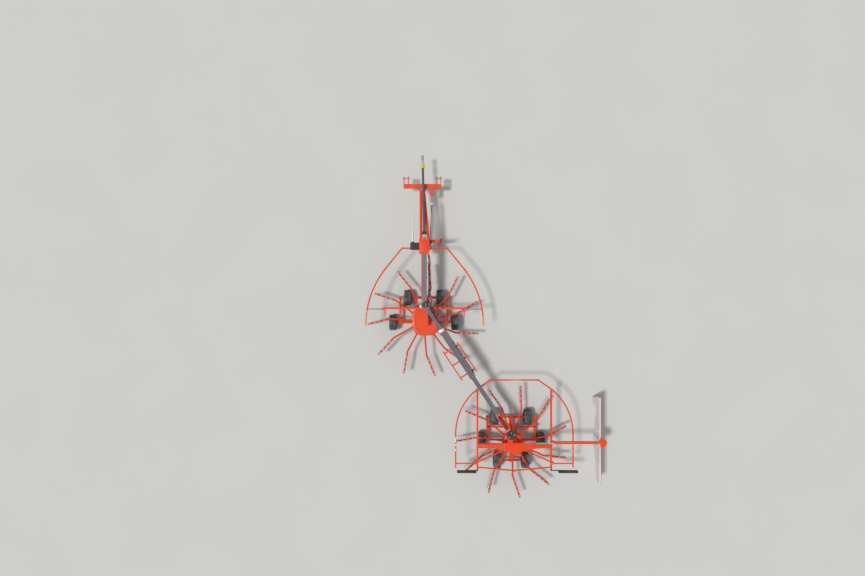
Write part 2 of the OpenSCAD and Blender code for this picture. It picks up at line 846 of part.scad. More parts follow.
module curtain_rail() {
    color(orange) at_rear()
        block([curtain_x - 22, arm_y - curtain_len / 2, curtain_top - 22],
              [curtain_x + 22, arm_y + curtain_len / 2, curtain_top + 22]);
}

module curtain() {
    color("gainsboro") at_rear()
        block([curtain_x - curtain_t / 2, arm_y - curtain_len / 2 + 5, curtain_low],
              [curtain_x + curtain_t / 2, arm_y + curtain_len / 2 - 5, curtain_top - 22]);
}

// Wheel: rounded tyre, dished disc and hub, turned about X
module wheel(at) {
    side = sign(at.x);
    shoulder = 38;
    half = tyre_w / 2;
    translate([at.x, at.y, axle_z]) rotate([0, 90, 0]) rotate_extrude() {
        difference() {
            union() {
                translate([rim_r, -half + shoulder]) square([tyre_r - rim_r - shoulder, tyre_w - 2 * shoulder]);
                translate([rim_r, -half + 12]) square([tyre_r - rim_r - shoulder, tyre_w - 24]);
                translate([tyre_r - shoulder - 1, -half + shoulder]) square([shoulder + 1, tyre_w - 2 * shoulder]);
                for (s = [-1, 1])
                    translate([tyre_r - shoulder, s * (half - shoulder)]) circle(r = shoulder);
                translate([axle_r + gap, -5 + side * 30]) square([rim_r, 10]);
                translate([axle_r + gap, -hub_half]) square([30, 2 * hub_half]);
            }
        }
    }
}

module front_wheel(i) {
    color("black") at_front() wheel(front_wheels[i]);
}

module rear_wheel(i) {
    color("black") at_rear() wheel(rear_wheels[i]);
}

main_beam();
hitch_bracket();
drawbar();
pto_shaft();
steering_rod();
marker_rod();
front_gearcase();
front_carrier();
front_hoop();
front_carriage();
headstock();
jack_leg();
front_rotor();
front_tines();
front_guard_left();
front_guard_right();
swing_beam();
beam_rails();
inner_beam();
rear_cross_beam();
rear_gearcase();
rear_hoop();
rear_rails();
rear_braces();
rear_carriage();
lamp_boards();
fold_cylinder();
fold_rod();
rear_guard_left();
rear_guard_right();
curtain_arm();
curtain_rail();
curtain();
rear_rotor();
rear_tines();
front_wheel(0);  // front_wheel_1
front_wheel(1);  // front_wheel_2
front_wheel(2);  // front_wheel_3
front_wheel(3);  // front_wheel_4
rear_wheel(0);  // rear_wheel_1
rear_wheel(1);  // rear_wheel_2
rear_wheel(2);  // rear_wheel_3
rear_wheel(3);  // rear_wheel_4
rear_wheel(4);  // rear_wheel_5
rear_wheel(5);  // rear_wheel_6
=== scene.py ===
"""Twin rotor hay rake: paints, tyres, spring tines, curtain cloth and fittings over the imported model."""
import math

import bmesh
import bpy
from mathutils import Matrix, Vector


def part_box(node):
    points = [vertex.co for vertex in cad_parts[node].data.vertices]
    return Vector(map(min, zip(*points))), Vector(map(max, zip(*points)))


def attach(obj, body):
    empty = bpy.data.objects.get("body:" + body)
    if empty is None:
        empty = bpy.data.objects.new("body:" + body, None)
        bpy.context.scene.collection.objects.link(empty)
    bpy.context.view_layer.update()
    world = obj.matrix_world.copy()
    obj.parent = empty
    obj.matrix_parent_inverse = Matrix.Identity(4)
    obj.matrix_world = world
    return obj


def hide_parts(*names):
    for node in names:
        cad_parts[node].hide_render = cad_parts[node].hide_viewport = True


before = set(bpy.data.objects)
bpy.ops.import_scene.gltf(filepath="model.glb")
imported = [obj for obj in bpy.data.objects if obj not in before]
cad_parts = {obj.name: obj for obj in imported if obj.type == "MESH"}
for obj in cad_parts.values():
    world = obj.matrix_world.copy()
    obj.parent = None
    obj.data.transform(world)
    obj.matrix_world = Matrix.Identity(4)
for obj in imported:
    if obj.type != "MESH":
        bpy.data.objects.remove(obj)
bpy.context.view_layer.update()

# Rotor axes on the ground plan, and for each rotor its label, axis and first arm's angle
FRONT_AXIS = Vector((-1.803, 0.200, 0.0))
REAR_AXIS = Vector((0.837, -3.400, 0.0))
ROTORS = (("front", FRONT_AXIS, 110.8), ("rear", REAR_AXIS, 74.3))

# Arms of a rotor: how many, their height, the bend and the tip along them, the tube's radius, the tines
ARM_COUNT = 11
ARM_Z = 0.560
ARM_BEND_AT = 1.020
ARM_BEND = 18.0
ARM_TIP = 0.6750
ARM_TUBE = 0.025
TINE_STEPS = [ARM_TIP - 0.060 - 0.150 * k for k in range(4)]

# Wheels: tyre, rim, steps round the tread, the rocker tubes' distance and each wheel's place, all
# from the rotor's axis
TYRE_R = 0.240
TYRE_W = 0.215
TYRE_SHOULDER = 0.042
RIM_R = 0.112
TREAD_STEPS = 72
CARRIER_X = 0.715
FRONT_WHEELS = [(-0.490, 0.690), (0.490, 0.690), (-0.940, -0.060), (0.940, -0.060)]
REAR_WHEELS = [(-0.500, 0.670), (0.500, 0.670), (-0.900, -0.020), (0.900, -0.020),
               (-0.425, -0.640), (0.425, -0.640)]

# Middle line of the main beam and front guard, and the swing beam's pivot, height and run from there
FRONT_MIDDLE = 0.030
PIVOT_Y = 0.502
BEAM_Z = 1.200
BEAM_RUN = (2.490, -3.732)

# Gear cases' input shafts, the headstock's pivot and the link pins, from the front rotor's axis
INPUT_Z = 0.800
HITCH_X = -0.040
HITCH_Y = 3.886
LINK_SPREAD = 0.4825
LINK_Y = 4.235
LINK_Z = 0.650

# Guards: tube height and side tubes, fold hinges, and the radius of the reflective bands
GUARD_Z = 0.990
FRONT_GUARD_HALF = 1.714
FRONT_GUARD_ARC = 2.655
REAR_GUARD_HALF = 1.708
HINGE_Z = 1.025
FRONT_HINGE_X = 1.190
REAR_HINGE_X = 1.122
FRONT_HINGES_Y = (0.395, 1.4836)
REAR_HINGES_Y = (-0.496, 1.6021)
BAND_R = 0.0225

# Outlines in plan of the pressed covers over the gear cases
FRONT_COVER = [(-0.020, 0.372), (-0.244, 0.366), (-0.339, 0.242), (-0.356, 0.050), (-0.322, -0.200),
               (-0.262, -0.345), (-0.085, -0.427), (0.245, -0.418), (0.388, -0.325), (0.440, -0.120),
               (0.400, 0.060), (0.270, 0.220), (0.150, 0.330)]
REAR_COVER = [(0.300 * math.cos(math.radians(30 * i + 15)), 0.300 * math.sin(math.radians(30 * i + 15)))
              for i in range(12)]

# Curtain: its pleats by depth, rate and start, and by how much the hem is drawn outwards at places
# along it, from the rear end on
PLEATS = ((0.009, 9.1, 0.0), (0.008, 15.7, 0.9), (0.006, 31.0, 2.0))
HEM_DRAW = ((0.00, 0.085), (0.55, 0.088), (0.95, 0.028), (1.35, 0.014), (2.14, 0.092), (2.40, 0.002),
            (2.60, -0.018))

# Routes of the hoses along the main beam and between the pivot and the front column
BEAM_HOSES = (
    ((0.160, 1.985, 1.120), (0.152, 1.800, 1.098), (0.140, 1.500, 1.048), (0.150, 1.280, 1.050),
     (0.146, 1.000, 1.040), (0.140, 0.800, 1.060), (0.110, 0.600, 1.130), (0.085, 0.560, 1.285),
     (0.062, 0.500, 1.330)),
    ((0.150, 1.985, 1.050), (0.190, 1.760, 1.060), (0.186, 1.560, 1.030), (0.170, 1.280, 1.044),
     (0.205, 1.060, 1.010), (0.186, 0.860, 1.050), (0.232, 0.700, 1.040), (0.214, 0.520, 1.062),
     (0.215, 0.400, 1.052)),
    ((0.130, 1.985, 1.085), (0.166, 1.700, 1.085), (0.200, 1.420, 1.050), (0.184, 1.280, 1.080),
     (0.166, 1.060, 1.070), (0.168, 0.860, 1.084), (0.160, 0.640, 1.180), (0.120, 0.540, 1.300),
     (0.040, 0.462, 1.335)),
)
COLUMN_HOSES = (
    ((0.150, 0.700, 1.075), (0.200, 0.520, 1.080), (0.300, 0.330, 1.050), (0.330, 0.180, 0.960),
     (0.240, 0.090, 0.900), (0.130, 0.060, 0.870)),
    ((0.190, 0.700, 1.060), (0.260, 0.540, 1.075), (0.390, 0.400, 1.060), (0.420, 0.240, 0.980),
     (0.330, 0.120, 0.900), (0.200, 0.110, 0.860), (0.135, 0.020, 0.850)),
    ((0.210, 0.690, 1.035), (0.330, 0.560, 1.060), (0.500, 0.450, 1.050), (0.560, 0.400, 1.035),
     (0.640, 0.395, 1.030)),
    ((0.095, 0.440, 1.030), (0.170, 0.330, 1.060), (0.290, 0.250, 1.020), (0.250, 0.060, 0.930),
     (0.150, -0.020, 0.880), (0.125, -0.060, 0.860)),
)

# Corner radius of a hexagon that is one unit across its flats
HEXAGON_CORNER = 0.577

# Light from the sky and the sun
SKY_STRENGTH = 0.40
SUN_STRENGTH = 1.95
SUN_ANGLE = 0.16
SUN_AIM = (0.40, 0.07, -0.913)

# Camera high above the rake, and the picture's width in pixels
CAMERA_AT = (-1.544, 1.185, 18.0)
FOCAL_PIXELS = 584.5
PICTURE_WIDE = 865
SENSOR = 36.0


# Materials
def linear(hex_colour):
    """Scene colour of a paint chart's hex value."""
    parts = [int(hex_colour[i:i + 2], 16) / 255 for i in (0, 2, 4)]
    return tuple(p / 12.92 if p <= 0.04045 else ((p + 0.055) / 1.055) ** 2.4 for p in parts) + (1.0,)


def node_group(name, inputs, outputs):
    """Empty shader group with named sockets: (socket, name, default)."""
    group = bpy.data.node_groups.new(name, "ShaderNodeTree")
    for kind, label, value in inputs:
        socket = group.interface.new_socket(name=label, in_out="INPUT", socket_type=kind)
        socket.default_value = value
    for kind, label in outputs:
        group.interface.new_socket(name=label, in_out="OUTPUT", socket_type=kind)
    return group, group.nodes.new("NodeGroupInput"), group.nodes.new("NodeGroupOutput")


def add(tree, kind, links=None, **settings):
    """New node in a tree, with its settings, values and incoming links."""
    node = tree.nodes.new(kind)
    values = settings.pop("values", {})
    for key, value in settings.items():
        setattr(node, key, value)
    for key, value in values.items():
        node.inputs[key].default_value = value
    for key, source in (links or {}).items():
        tree.links.new(source, node.inputs[key])
    return node


def ramp(tree, source, low, high):
    """Smooth step from 0 to 1 between two values of the source."""
    return add(tree, "ShaderNodeMapRange", {"Value": source}, interpolation_type="SMOOTHSTEP",
               values={"From Min": low, "From Max": high}).outputs["Result"]


def product(tree, a, b):
    """One value times another."""
    return add(tree, "ShaderNodeMath", {0: a, 1: b}, operation="MULTIPLY").outputs[0]


def mixed(tree, factor, a, b):
    """Colour between a and b; either may be a socket or a plain colour."""
    node = add(tree, "ShaderNodeMix", {"Factor": factor}, data_type="RGBA")
    for slot, value in (("A", a), ("B", b)):
        socket = [s for s in node.inputs if s.name == slot and s.type == "RGBA"][0]
        if isinstance(value, tuple):
            socket.default_value = value
        else:
            tree.links.new(value, socket)
    return [s for s in node.outputs if s.type == "RGBA"][0]


def noise(group, place, scale, detail, roughness):
    """Noise at a place, with the scale from a socket."""
    return add(group, "ShaderNodeTexNoise", {"Vector": place, "Scale": scale},
               values={"Detail": detail, "Roughness": roughness}).outputs["Fac"]


def make_dust_group():
    """Field dust: it settles on faces that look up, in soft patches."""
    group, start, end = node_group(
        "field_dust",
        [("NodeSocketColor", "Colour", (0.5, 0.5, 0.5, 1)),
         ("NodeSocketColor", "Dust", (0.4, 0.36, 0.28, 1)),
         ("NodeSocketFloat", "Amount", 0.3), ("NodeSocketFloat", "Scale", 4.0)],
        [("NodeSocketColor", "Colour"), ("NodeSocketFloat", "Mask")])
    place = add(group, "ShaderNodeTexCoord").outputs["Object"]
    patches = noise(group, place, start.outputs["Scale"], 7.0, 0.62)
    normal = add(group, "ShaderNodeNewGeometry").outputs["Normal"]
    up = add(group, "ShaderNodeSeparateXYZ", {"Vector": normal})
    facing = ramp(group, up.outputs["Z"], -0.3, 0.9)
    mask = product(group, product(group, facing, ramp(group, patches, 0.38, 0.72)),
                   start.outputs["Amount"])
    colour = mixed(group, mask, start.outputs["Colour"], start.outputs["Dust"])
    group.links.new(colour, end.inputs["Colour"])
    group.links.new(mask, end.inputs["Mask"])
    return group


def make_fade_group():
    """Slow drift of a colour over the surface, as paint fades and rubber ages."""
    group, start, end = node_group(
        "slow_fade",
        [("NodeSocketColor", "Colour", (0.5, 0.5, 0.5, 1)), ("NodeSocketColor", "Faded", (0.6, 0.5, 0.4, 1)),
         ("NodeSocketFloat", "Scale", 1.5)],
        [("NodeSocketColor", "Colour")])
    place = add(group, "ShaderNodeTexCoord").outputs["Object"]
    drift = noise(group, place, start.outputs["Scale"], 3.0, 0.5)
    colour = mixed(group, ramp(group, drift, 0.35, 0.7), start.outputs["Colour"], start.outputs["Faded"])
    group.links.new(colour, end.inputs["Colour"])
    return group


def make_scuff_group():
    """Thin rubbed streaks and chips, where crop and stones have touched the paint."""
    group, start, end = node_group(
        "crop_scuffs",
        [("NodeSocketFloat", "Scale", 30.0), ("NodeSocketFloat", "Amount", 0.4)],
        [("NodeSocketFloat", "Mask")])
    place = add(group, "ShaderNodeTexCoord").outputs["Object"]
    streaks = add(group, "ShaderNodeMapping", {"Vector": place}, values={"Scale": (1.0, 0.25, 1.6)})
    fine = noise(group, streaks.outputs[0], start.outputs["Scale"], 9.0, 0.7)
    chips = add(group, "ShaderNodeTexVoronoi", {"Vector": place, "Scale": start.outputs["Scale"]})
    near = ramp(group, chips.outputs["Distance"], 0.22, 0.08)
    mask = product(group, product(group, ramp(group, fine, 0.56, 0.68), near),
                   start.outputs["Amount"])
    group.links.new(mask, end.inputs["Mask"])
    return group


def make_skin_group():
    """Height of a sprayed, cast or moulded skin."""
    group, start, end = node_group("skin_height", [("NodeSocketFloat", "Scale", 300.0)],
                                   [("NodeSocketFloat", "Height")])
    place = add(group, "ShaderNodeTexCoord").outputs["Object"]
    peel = noise(group, place, start.outputs["Scale"], 2.0, 0.5)
    group.links.new(peel, end.inputs["Height"])
    return group


def make_weave_group():
    """Plain weave of a coated curtain: warp and weft threads on the piece's own UV map."""
    group, start, end = node_group("plain_weave", [("NodeSocketFloat", "Threads", 400.0)],
                                   [("NodeSocketFloat", "Height"), ("NodeSocketFloat", "Shade")])
    place = add(group, "ShaderNodeUVMap", uv_map="cloth")
    waves = []
    for direction in ("X", "Y"):
        threads = {"Vector": place.outputs[0], "Scale": start.outputs["Threads"]}
        wave = add(group, "ShaderNodeTexWave", threads, bands_direction=direction, wave_profile="SIN")
        waves.append(wave.outputs["Fac"])
    height = product(group, waves[0], waves[1])
    cloudy = add(group, "ShaderNodeTexNoise", {"Vector": place.outputs[0]},
                 values={"Scale": 5.0, "Detail": 6.0, "Roughness": 0.6})
    group.links.new(height, end.inputs["Height"])
    group.links.new(cloudy.outputs["Fac"], end.inputs["Shade"])
    return group


DUST = make_dust_group()
FADE = make_fade_group()
SCUFFS = make_scuff_group()
SKIN = make_skin_group()
WEAVE = make_weave_group()


def new_material(name, roughness, metallic=0.0, coat=0.0, specular=0.3):
    """Material with its tree and shader, and the shader's plain values set."""
    material = bpy.data.materials.new(name)
    material.use_nodes = True
    shader = material.node_tree.nodes["Principled BSDF"]
    shader.inputs["Roughness"].default_value = roughness
    shader.inputs["Metallic"].default_value = metallic
    shader.inputs["Coat Weight"].default_value = coat
    shader.inputs["Specular IOR Level"].default_value = specular
    return material, material.node_tree, shader


def use_group(tree, group, links=None, **values):
    """Places a shader group in a tree, with its own values and links."""
    return add(tree, "ShaderNodeGroup", links, node_tree=group, values=values)


def add_bump(tree, shader, height, distance, strength=0.6):
    """Lets a height shape the surface, at a depth in metres."""
    bump = add(tree, "ShaderNodeBump", {"Height": height},
               values={"Distance": distance, "Strength": strength})
    tree.links.new(bump.outputs["Normal"], shader.inputs["Normal"])


def coated(name, colour, faded, worn, roughness, dust, scuff, skin=260.0, depth=0.0004, metallic=0.0,
           coat=0.0, dust_colour="8C7F62"):
    """Paint, plastic or zinc: it fades slowly, is rubbed in streaks, and carries field dust."""
    material, tree, shader = new_material(name, roughness, metallic, coat)
    drift = use_group(tree, FADE, Colour=linear(colour), Faded=linear(faded), Scale=1.3)
    marks = use_group(tree, SCUFFS, Scale=34.0, Amount=scuff)
    rubbed = mixed(tree, marks.outputs["Mask"], drift.outputs["Colour"], linear(worn))
    dusty = use_group(tree, DUST, {"Colour": rubbed}, Dust=linear(dust_colour), Amount=dust, Scale=5.0)
    tree.links.new(dusty.outputs["Colour"], shader.inputs["Base Color"])
    rough = add(tree, "ShaderNodeMapRange", {"Value": dusty.outputs["Mask"]},
                values={"From Max": 0.5, "To Min": roughness, "To Max": min(1.0, roughness + 0.35)})
    tree.links.new(rough.outputs["Result"], shader.inputs["Roughness"])
    add_bump(tree, shader, use_group(tree, SKIN, Scale=skin).outputs["Height"], depth)
    return material


def curtain_material():
    """Pale coated canvas: a fine weave, cloudy greys and a little dust."""
    material, tree, shader = new_material("curtain_canvas", 0.85)
    weave = use_group(tree, WEAVE, Threads=420.0)
    tone = mixed(tree, ramp(tree, weave.outputs["Shade"], 0.3, 0.75), linear("E2DEE4"), linear("C8C3CB"))
    dusty = use_group(tree, DUST, {"Colour": tone}, Dust=linear("A0968A"), Amount=0.10, Scale=7.0)
    tree.links.new(dusty.outputs["Colour"], shader.inputs["Base Color"])
    add_bump(tree, shader, weave.outputs["Height"], 0.0006, 0.8)
    shader.inputs["Sheen Weight"].default_value = 0.15
    return material


ORANGE = coated("rake_orange", "F04206", "E84E0E", "8E4E32", 0.42, dust=0.15, scuff=0.35, coat=0.04)
DEEP_ORANGE = coated("hub_orange", "E4340A", "D43C10", "864630", 0.46, dust=0.13, scuff=0.5, coat=0.03)
DARK_BEAM = coated("swing_beam_grey", "5F5E6A", "696874", "9B9994", 0.40, dust=0.22, scuff=0.4, coat=0.15)
BEAM_GREY = coated("beam_grey", "6F6D77", "7B7A84", "A3A19C", 0.40, dust=0.25, scuff=0.4, coat=0.15)
ZINC = coated("bright_zinc", "A6A8AC", "93959A", "76787C", 0.34, dust=0.15, scuff=0.3, metallic=0.85,
              skin=120)
# Pale, barely metallic zinc: near white, as a painted glint of the sun on the clamp bolts, washers and the neck
# saddle
GLINT_PALE_ZINC = coated("zinc_with_painted_glint", "DEDFE1", "CFD1D4", "A9ABAE", 0.30, dust=0.05, scuff=0.15, metallic=0.35,
                  skin=120)
ROD_STEEL = coated("chromed_rod", "D8DADD", "CDD0D4", "A9ABAE", 0.16, dust=0.08, scuff=0.1, metallic=0.95)
TINE_STEEL = coated("black_spring_steel", "2B2A2C", "3A3536", "8D8A88", 0.38, dust=0.25, scuff=0.6,
                    metallic=0.6)
RUBBER = coated("tyre_rubber", "3B3D40", "4B4D50", "2A2A2C", 0.78, dust=0.72, scuff=0.3, skin=180,
                depth=0.0008, dust_colour="93959A")
RIM = coated("rim_white_grey", "B9BABD", "A5A6A9", "6E6357", 0.42, dust=0.35, scuff=0.5)
BLACK_PLASTIC = coated("black_plastic", "242326", "333236", "4A494C", 0.55, dust=0.25, scuff=0.2, skin=420)
SHAFT_GUARD = coated("shaft_guard", "4D4D57", "5C5C66", "77767C", 0.5, dust=0.25, scuff=0.3, skin=240)
YELLOW = coated("yellow_plastic", "E8BE1C", "D9AE22", "B4923A", 0.45, dust=0.15, scuff=0.2)
WHITE = coated("white_plastic", "E9E8E6", "DAD8D5", "B3B0AC", 0.45, dust=0.15, scuff=0.2)
AMBER = coated("amber_reflector", "F0921A", "E8A02C", "C07A24", 0.2, dust=0.1, scuff=0.1, coat=0.6)
RED_LENS = coated("red_lens", "B3121A", "A01820", "7C1A1E", 0.18, dust=0.1, scuff=0.1, coat=0.6)
HOSE_RED = coated("hose_sleeve", "8A2028", "741F26", "4C2320", 0.6, dust=0.2, scuff=0.3, skin=500,
                  depth=0.0008)
CANVAS = curtain_material()


# Modelling helpers
SELECT_MODES = {"verts": (True, False, False), "edges": (False, True, False), "faces": (False, False, True)}


def clear_selection():
    """Leaves edit mode and deselects everything."""
    if bpy.context.object is not None and bpy.context.object.mode != "OBJECT":
        bpy.ops.object.mode_set(mode="OBJECT")
    bpy.ops.object.select_all(action="DESELECT")


def only(*pieces):
    """Selects these objects and nothing else; the last one is active."""
    clear_selection()
    for piece in pieces:
        piece.select_set(True)
    bpy.context.view_layer.objects.active = pieces[-1]


def started(name):
    """The primitive that was just added, with its place moved into its mesh."""
    piece = bpy.context.object
    piece.name = piece.data.name = name
    bpy.ops.object.transform_apply(location=True, rotation=True, scale=True)
    return piece


def editing(piece):
    """Takes a piece into edit mode, with nothing of it selected."""
    only(piece)
    bpy.ops.object.mode_set(mode="EDIT")
    bpy.ops.mesh.select_all(action="DESELECT")
    return piece


def pick(piece, wanted, parts="faces"):
    """In edit mode, selects just the faces, edges or verts that wanted() accepts."""
    bpy.context.tool_settings.mesh_select_mode = SELECT_MODES[parts]
    bpy.ops.mesh.select_all(action="DESELECT")
    shape = bmesh.from_edit_mesh(piece.data)
    for part in getattr(shape, parts):
        if wanted(part):
            part.select_set(True)
    shape.select_flush_mode()
    bmesh.update_edit_mesh(piece.data)


def pick_all(parts):
    """In edit mode, selects all faces, edges or verts."""
    bpy.context.tool_settings.mesh_select_mode = SELECT_MODES[parts]
    bpy.ops.mesh.select_all(action="SELECT")


def drawn_out(*along):
    """In edit mode, extrudes the selected faces along a vector."""
    bpy.ops.mesh.extrude_region_move(TRANSFORM_OT_translate={"value": along})


def stepped_in(inset, rise):
    """In edit mode, insets the selected face and shifts what is inside along Z."""
    bpy.ops.mesh.inset(thickness=inset)
    bpy.ops.transform.translate(value=(0, 0, rise))


def closed_up(piece):
    """Merges doubles and turns every face outwards, then leaves edit mode."""
    pick_all("verts")
    bpy.ops.mesh.remove_doubles(threshold=0.00002)
    bpy.ops.mesh.normals_make_consistent(inside=False)
    bpy.ops.object.mode_set(mode="OBJECT")
    return piece


def coloured(piece, material):
    """Gives a piece one finish in place of what it had."""
    piece.data.materials.clear()
    piece.data.materials.append(material)
    return piece


def moved(piece, place):
    """Moves a finished piece's mesh by a matrix."""
    piece.data.transform(place)
    return piece


def joined(name, parts, place=Matrix()):
    """Joins the parts into the last of them, then moves the whole by a matrix."""
    only(*parts)
    bpy.ops.object.join()
    piece = bpy.context.object
    piece.name = piece.data.name = name
    return moved(piece, place)


def shaded(piece, angle):
    """Smooth shading wherever faces meet at less than an angle in degrees."""
    only(piece)
    bpy.ops.object.shade_smooth_by_angle(angle=math.radians(angle))
    return piece


def softened(piece, width, segments=2, angle=40.0):
    """Bevel modifier on the sharp edges, applied, and smooth shading between them."""
    only(piece)
    bevel = piece.modifiers.new("edge_round", "BEVEL")
    bevel.width = width
    bevel.segments = segments
    bevel.limit_method = "ANGLE"
    bevel.angle_limit = math.radians(angle)
    bpy.ops.object.modifier_apply(modifier=bevel.name)
    return shaded(piece, 35)


def copied(piece, name, place):
    """Copy with its own mesh, moved by a matrix."""
    twin = piece.copy()
    twin.data = piece.data.copy()
    twin.name = twin.data.name = name
    bpy.context.scene.collection.objects.link(twin)
    return moved(twin, place)


def spread(piece, name, places):
    """One piece made of copies of a small one, at each matrix; the small one goes."""
    whole = joined(name, [copied(piece, "part", place) for place in places])
    bpy.data.objects.remove(piece)
    return whole


def fitted(piece, body, slot, *nodes):
    """Rides on a body and stands for the nodes, if any; the slot is not used."""
    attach(piece, body)
    if nodes:
        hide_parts(*nodes)


def facing(direction, place):
    """Matrix that puts +Z along a direction, at a place."""
    return Matrix.Translation(place) @ Vector(direction).to_track_quat("Z", "Y").to_matrix().to_4x4()


def ring_of(count, radius=0.0, z=0.0, first=0.0):
    """Places round the Z axis, evenly spaced from a first angle in degrees."""
    out = Matrix.Translation((radius, 0, z))
    return [Matrix.Rotation(math.radians(first + 360 / count * i), 4, "Z") @ out for i in range(count)]


def grid_of(xs, ys, z):
    """Places on a level face, one for each x and y."""
    return [Matrix.Translation((x, y, z)) for x in xs for y in ys]


def box(name, low, high, material, bevel=0.002, segments=2):
    """Bevelled block between two corners."""
    low, high = Vector(low), Vector(high)
    clear_selection()
    bpy.ops.mesh.primitive_cube_add(size=1, location=(low + high) / 2)
    bpy.context.object.scale = high - low
    return coloured(softened(started(name), bevel, segments), material)


def turned(name, profile, material, sides=32, place=Matrix()):
    """Turned part about Z, drawn up from disc to disc, (radius, height), then moved to its place."""
    radius, height = profile[0]
    clear_selection()
    bpy.ops.mesh.primitive_circle_add(vertices=sides, radius=radius, fill_type="NGON",
                                      location=(0, 0, height))
    part = editing(started(name))
    bpy.ops.mesh.select_all(action="SELECT")
    for new_radius, new_height in profile[1:]:
        drawn_out(0, 0, new_height - height)
        size = new_radius / radius
        bpy.ops.transform.resize(value=(size, size, 1), center_override=(0, 0, new_height))
        radius, height = new_radius, new_height
    return moved(coloured(shaded(closed_up(part), 32), material), place)


def plate(name, outline, low, high, bevel=0.0):
    """Flat plate with an outline in plan, between two heights."""
    clear_selection()
    bpy.ops.mesh.primitive_circle_add(vertices=len(outline), radius=1, fill_type="NGON")
    part = started(name)
    for vertex, (x, y) in zip(part.data.vertices, outline):
        vertex.co = (x, y, low)
    editing(part)
    bpy.ops.mesh.select_all(action="SELECT")
    drawn_out(0, 0, high - low)
    closed_up(part)
    return softened(part, bevel) if bevel else part


def smooth_path(points, steps=6):
    """Points of one smooth curve through the given ones."""
    points = [Vector(p) for p in points]
    ends = [points[0]] + points + [points[-1]]
    path = []
    for a, b, c, d in zip(ends, ends[1:], ends[2:], ends[3:]):
        for i in range(steps):
            t = i / steps
            path.append(0.5 * (2 * b + (c - a) * t + (2 * a - 5 * b + 4 * c - d) * t * t
                               + (3 * b - a - 3 * c + d) * t ** 3))
    return path + [points[-1]]


def tube_on(name, path, radius, material, roundness=2):
    """Closed round tube on a path."""
    curve = bpy.data.curves.new(name, "CURVE")
    curve.dimensions = "3D"
    curve.bevel_depth = radius
    curve.bevel_resolution = roundness
    curve.use_fill_caps = True
    line = curve.splines.new("POLY")
    line.points.add(len(path) - 1)
    for point, co in zip(line.points, path):
        point.co = (*co, 1.0)
    tube = bpy.data.objects.new(name, curve)
    bpy.context.scene.collection.objects.link(tube)
    only(tube)
    bpy.ops.object.convert(target="MESH")
    return coloured(shaded(bpy.context.object, 50), material)


def hose(name, points, radius, place=Matrix()):
    """Hose on a smooth route, with a crimped ferrule at each end."""
    path = smooth_path(points)
    parts = [tube_on(name, path, radius, HOSE_RED)]
    crimp = [(radius * 1.1, 0), (radius * 1.45, 0.004), (radius * 1.45, 0.040), (radius * 1.15, 0.044)]
    for at, toward in ((path[0], path[1]), (path[-1], path[-2])):
        parts.append(turned("ferrule", crimp, ZINC, 12, facing(toward - at, at)))
    return joined(name, parts, place)


def hexagon_bolt(across, head, material=ZINC):
    """Bolt head on its washer, on the origin, looking along +Z."""
    clear_selection()
    bpy.ops.mesh.primitive_cylinder_add(vertices=6, radius=across * HEXAGON_CORNER, depth=head,
                                        location=(0, 0, head * 0.5))
    bolt = editing(started("bolt"))
    pick(bolt, lambda f: f.normal.z > 0.9)
    stepped_in(across * 0.09, head * 0.12)
    pick(bolt, lambda f: f.normal.z < -0.9)
    bpy.ops.mesh.inset(thickness=0.0001)
    drawn_out(0, 0, -head * 0.2)
    return coloured(closed_up(bolt), material)


def bolts(name, places, across, head=0.011):
    """Row of zinc bolt heads, joined."""
    return spread(hexagon_bolt(across, head), name, places)


def at_front(x, y, z):
    """Point measured from the front rotor's axis."""
    return FRONT_AXIS + Vector((x, y, z))


def at_rear(x, y, z):
    """Point measured from the rear rotor's axis."""
    return REAR_AXIS + Vector((x, y, z))


# Frames that pieces are drawn in: each rotor's own plan, and along the swinging beam from its pivot
FRONT_PLAN = Matrix.Translation(FRONT_AXIS)
REAR_PLAN = Matrix.Translation(REAR_AXIS)
BEAM_LINE = (Matrix.Translation(at_front(FRONT_MIDDLE, PIVOT_Y, BEAM_Z))
             @ Matrix.Rotation(math.atan2(BEAM_RUN[1], BEAM_RUN[0]), 4, "Z"))


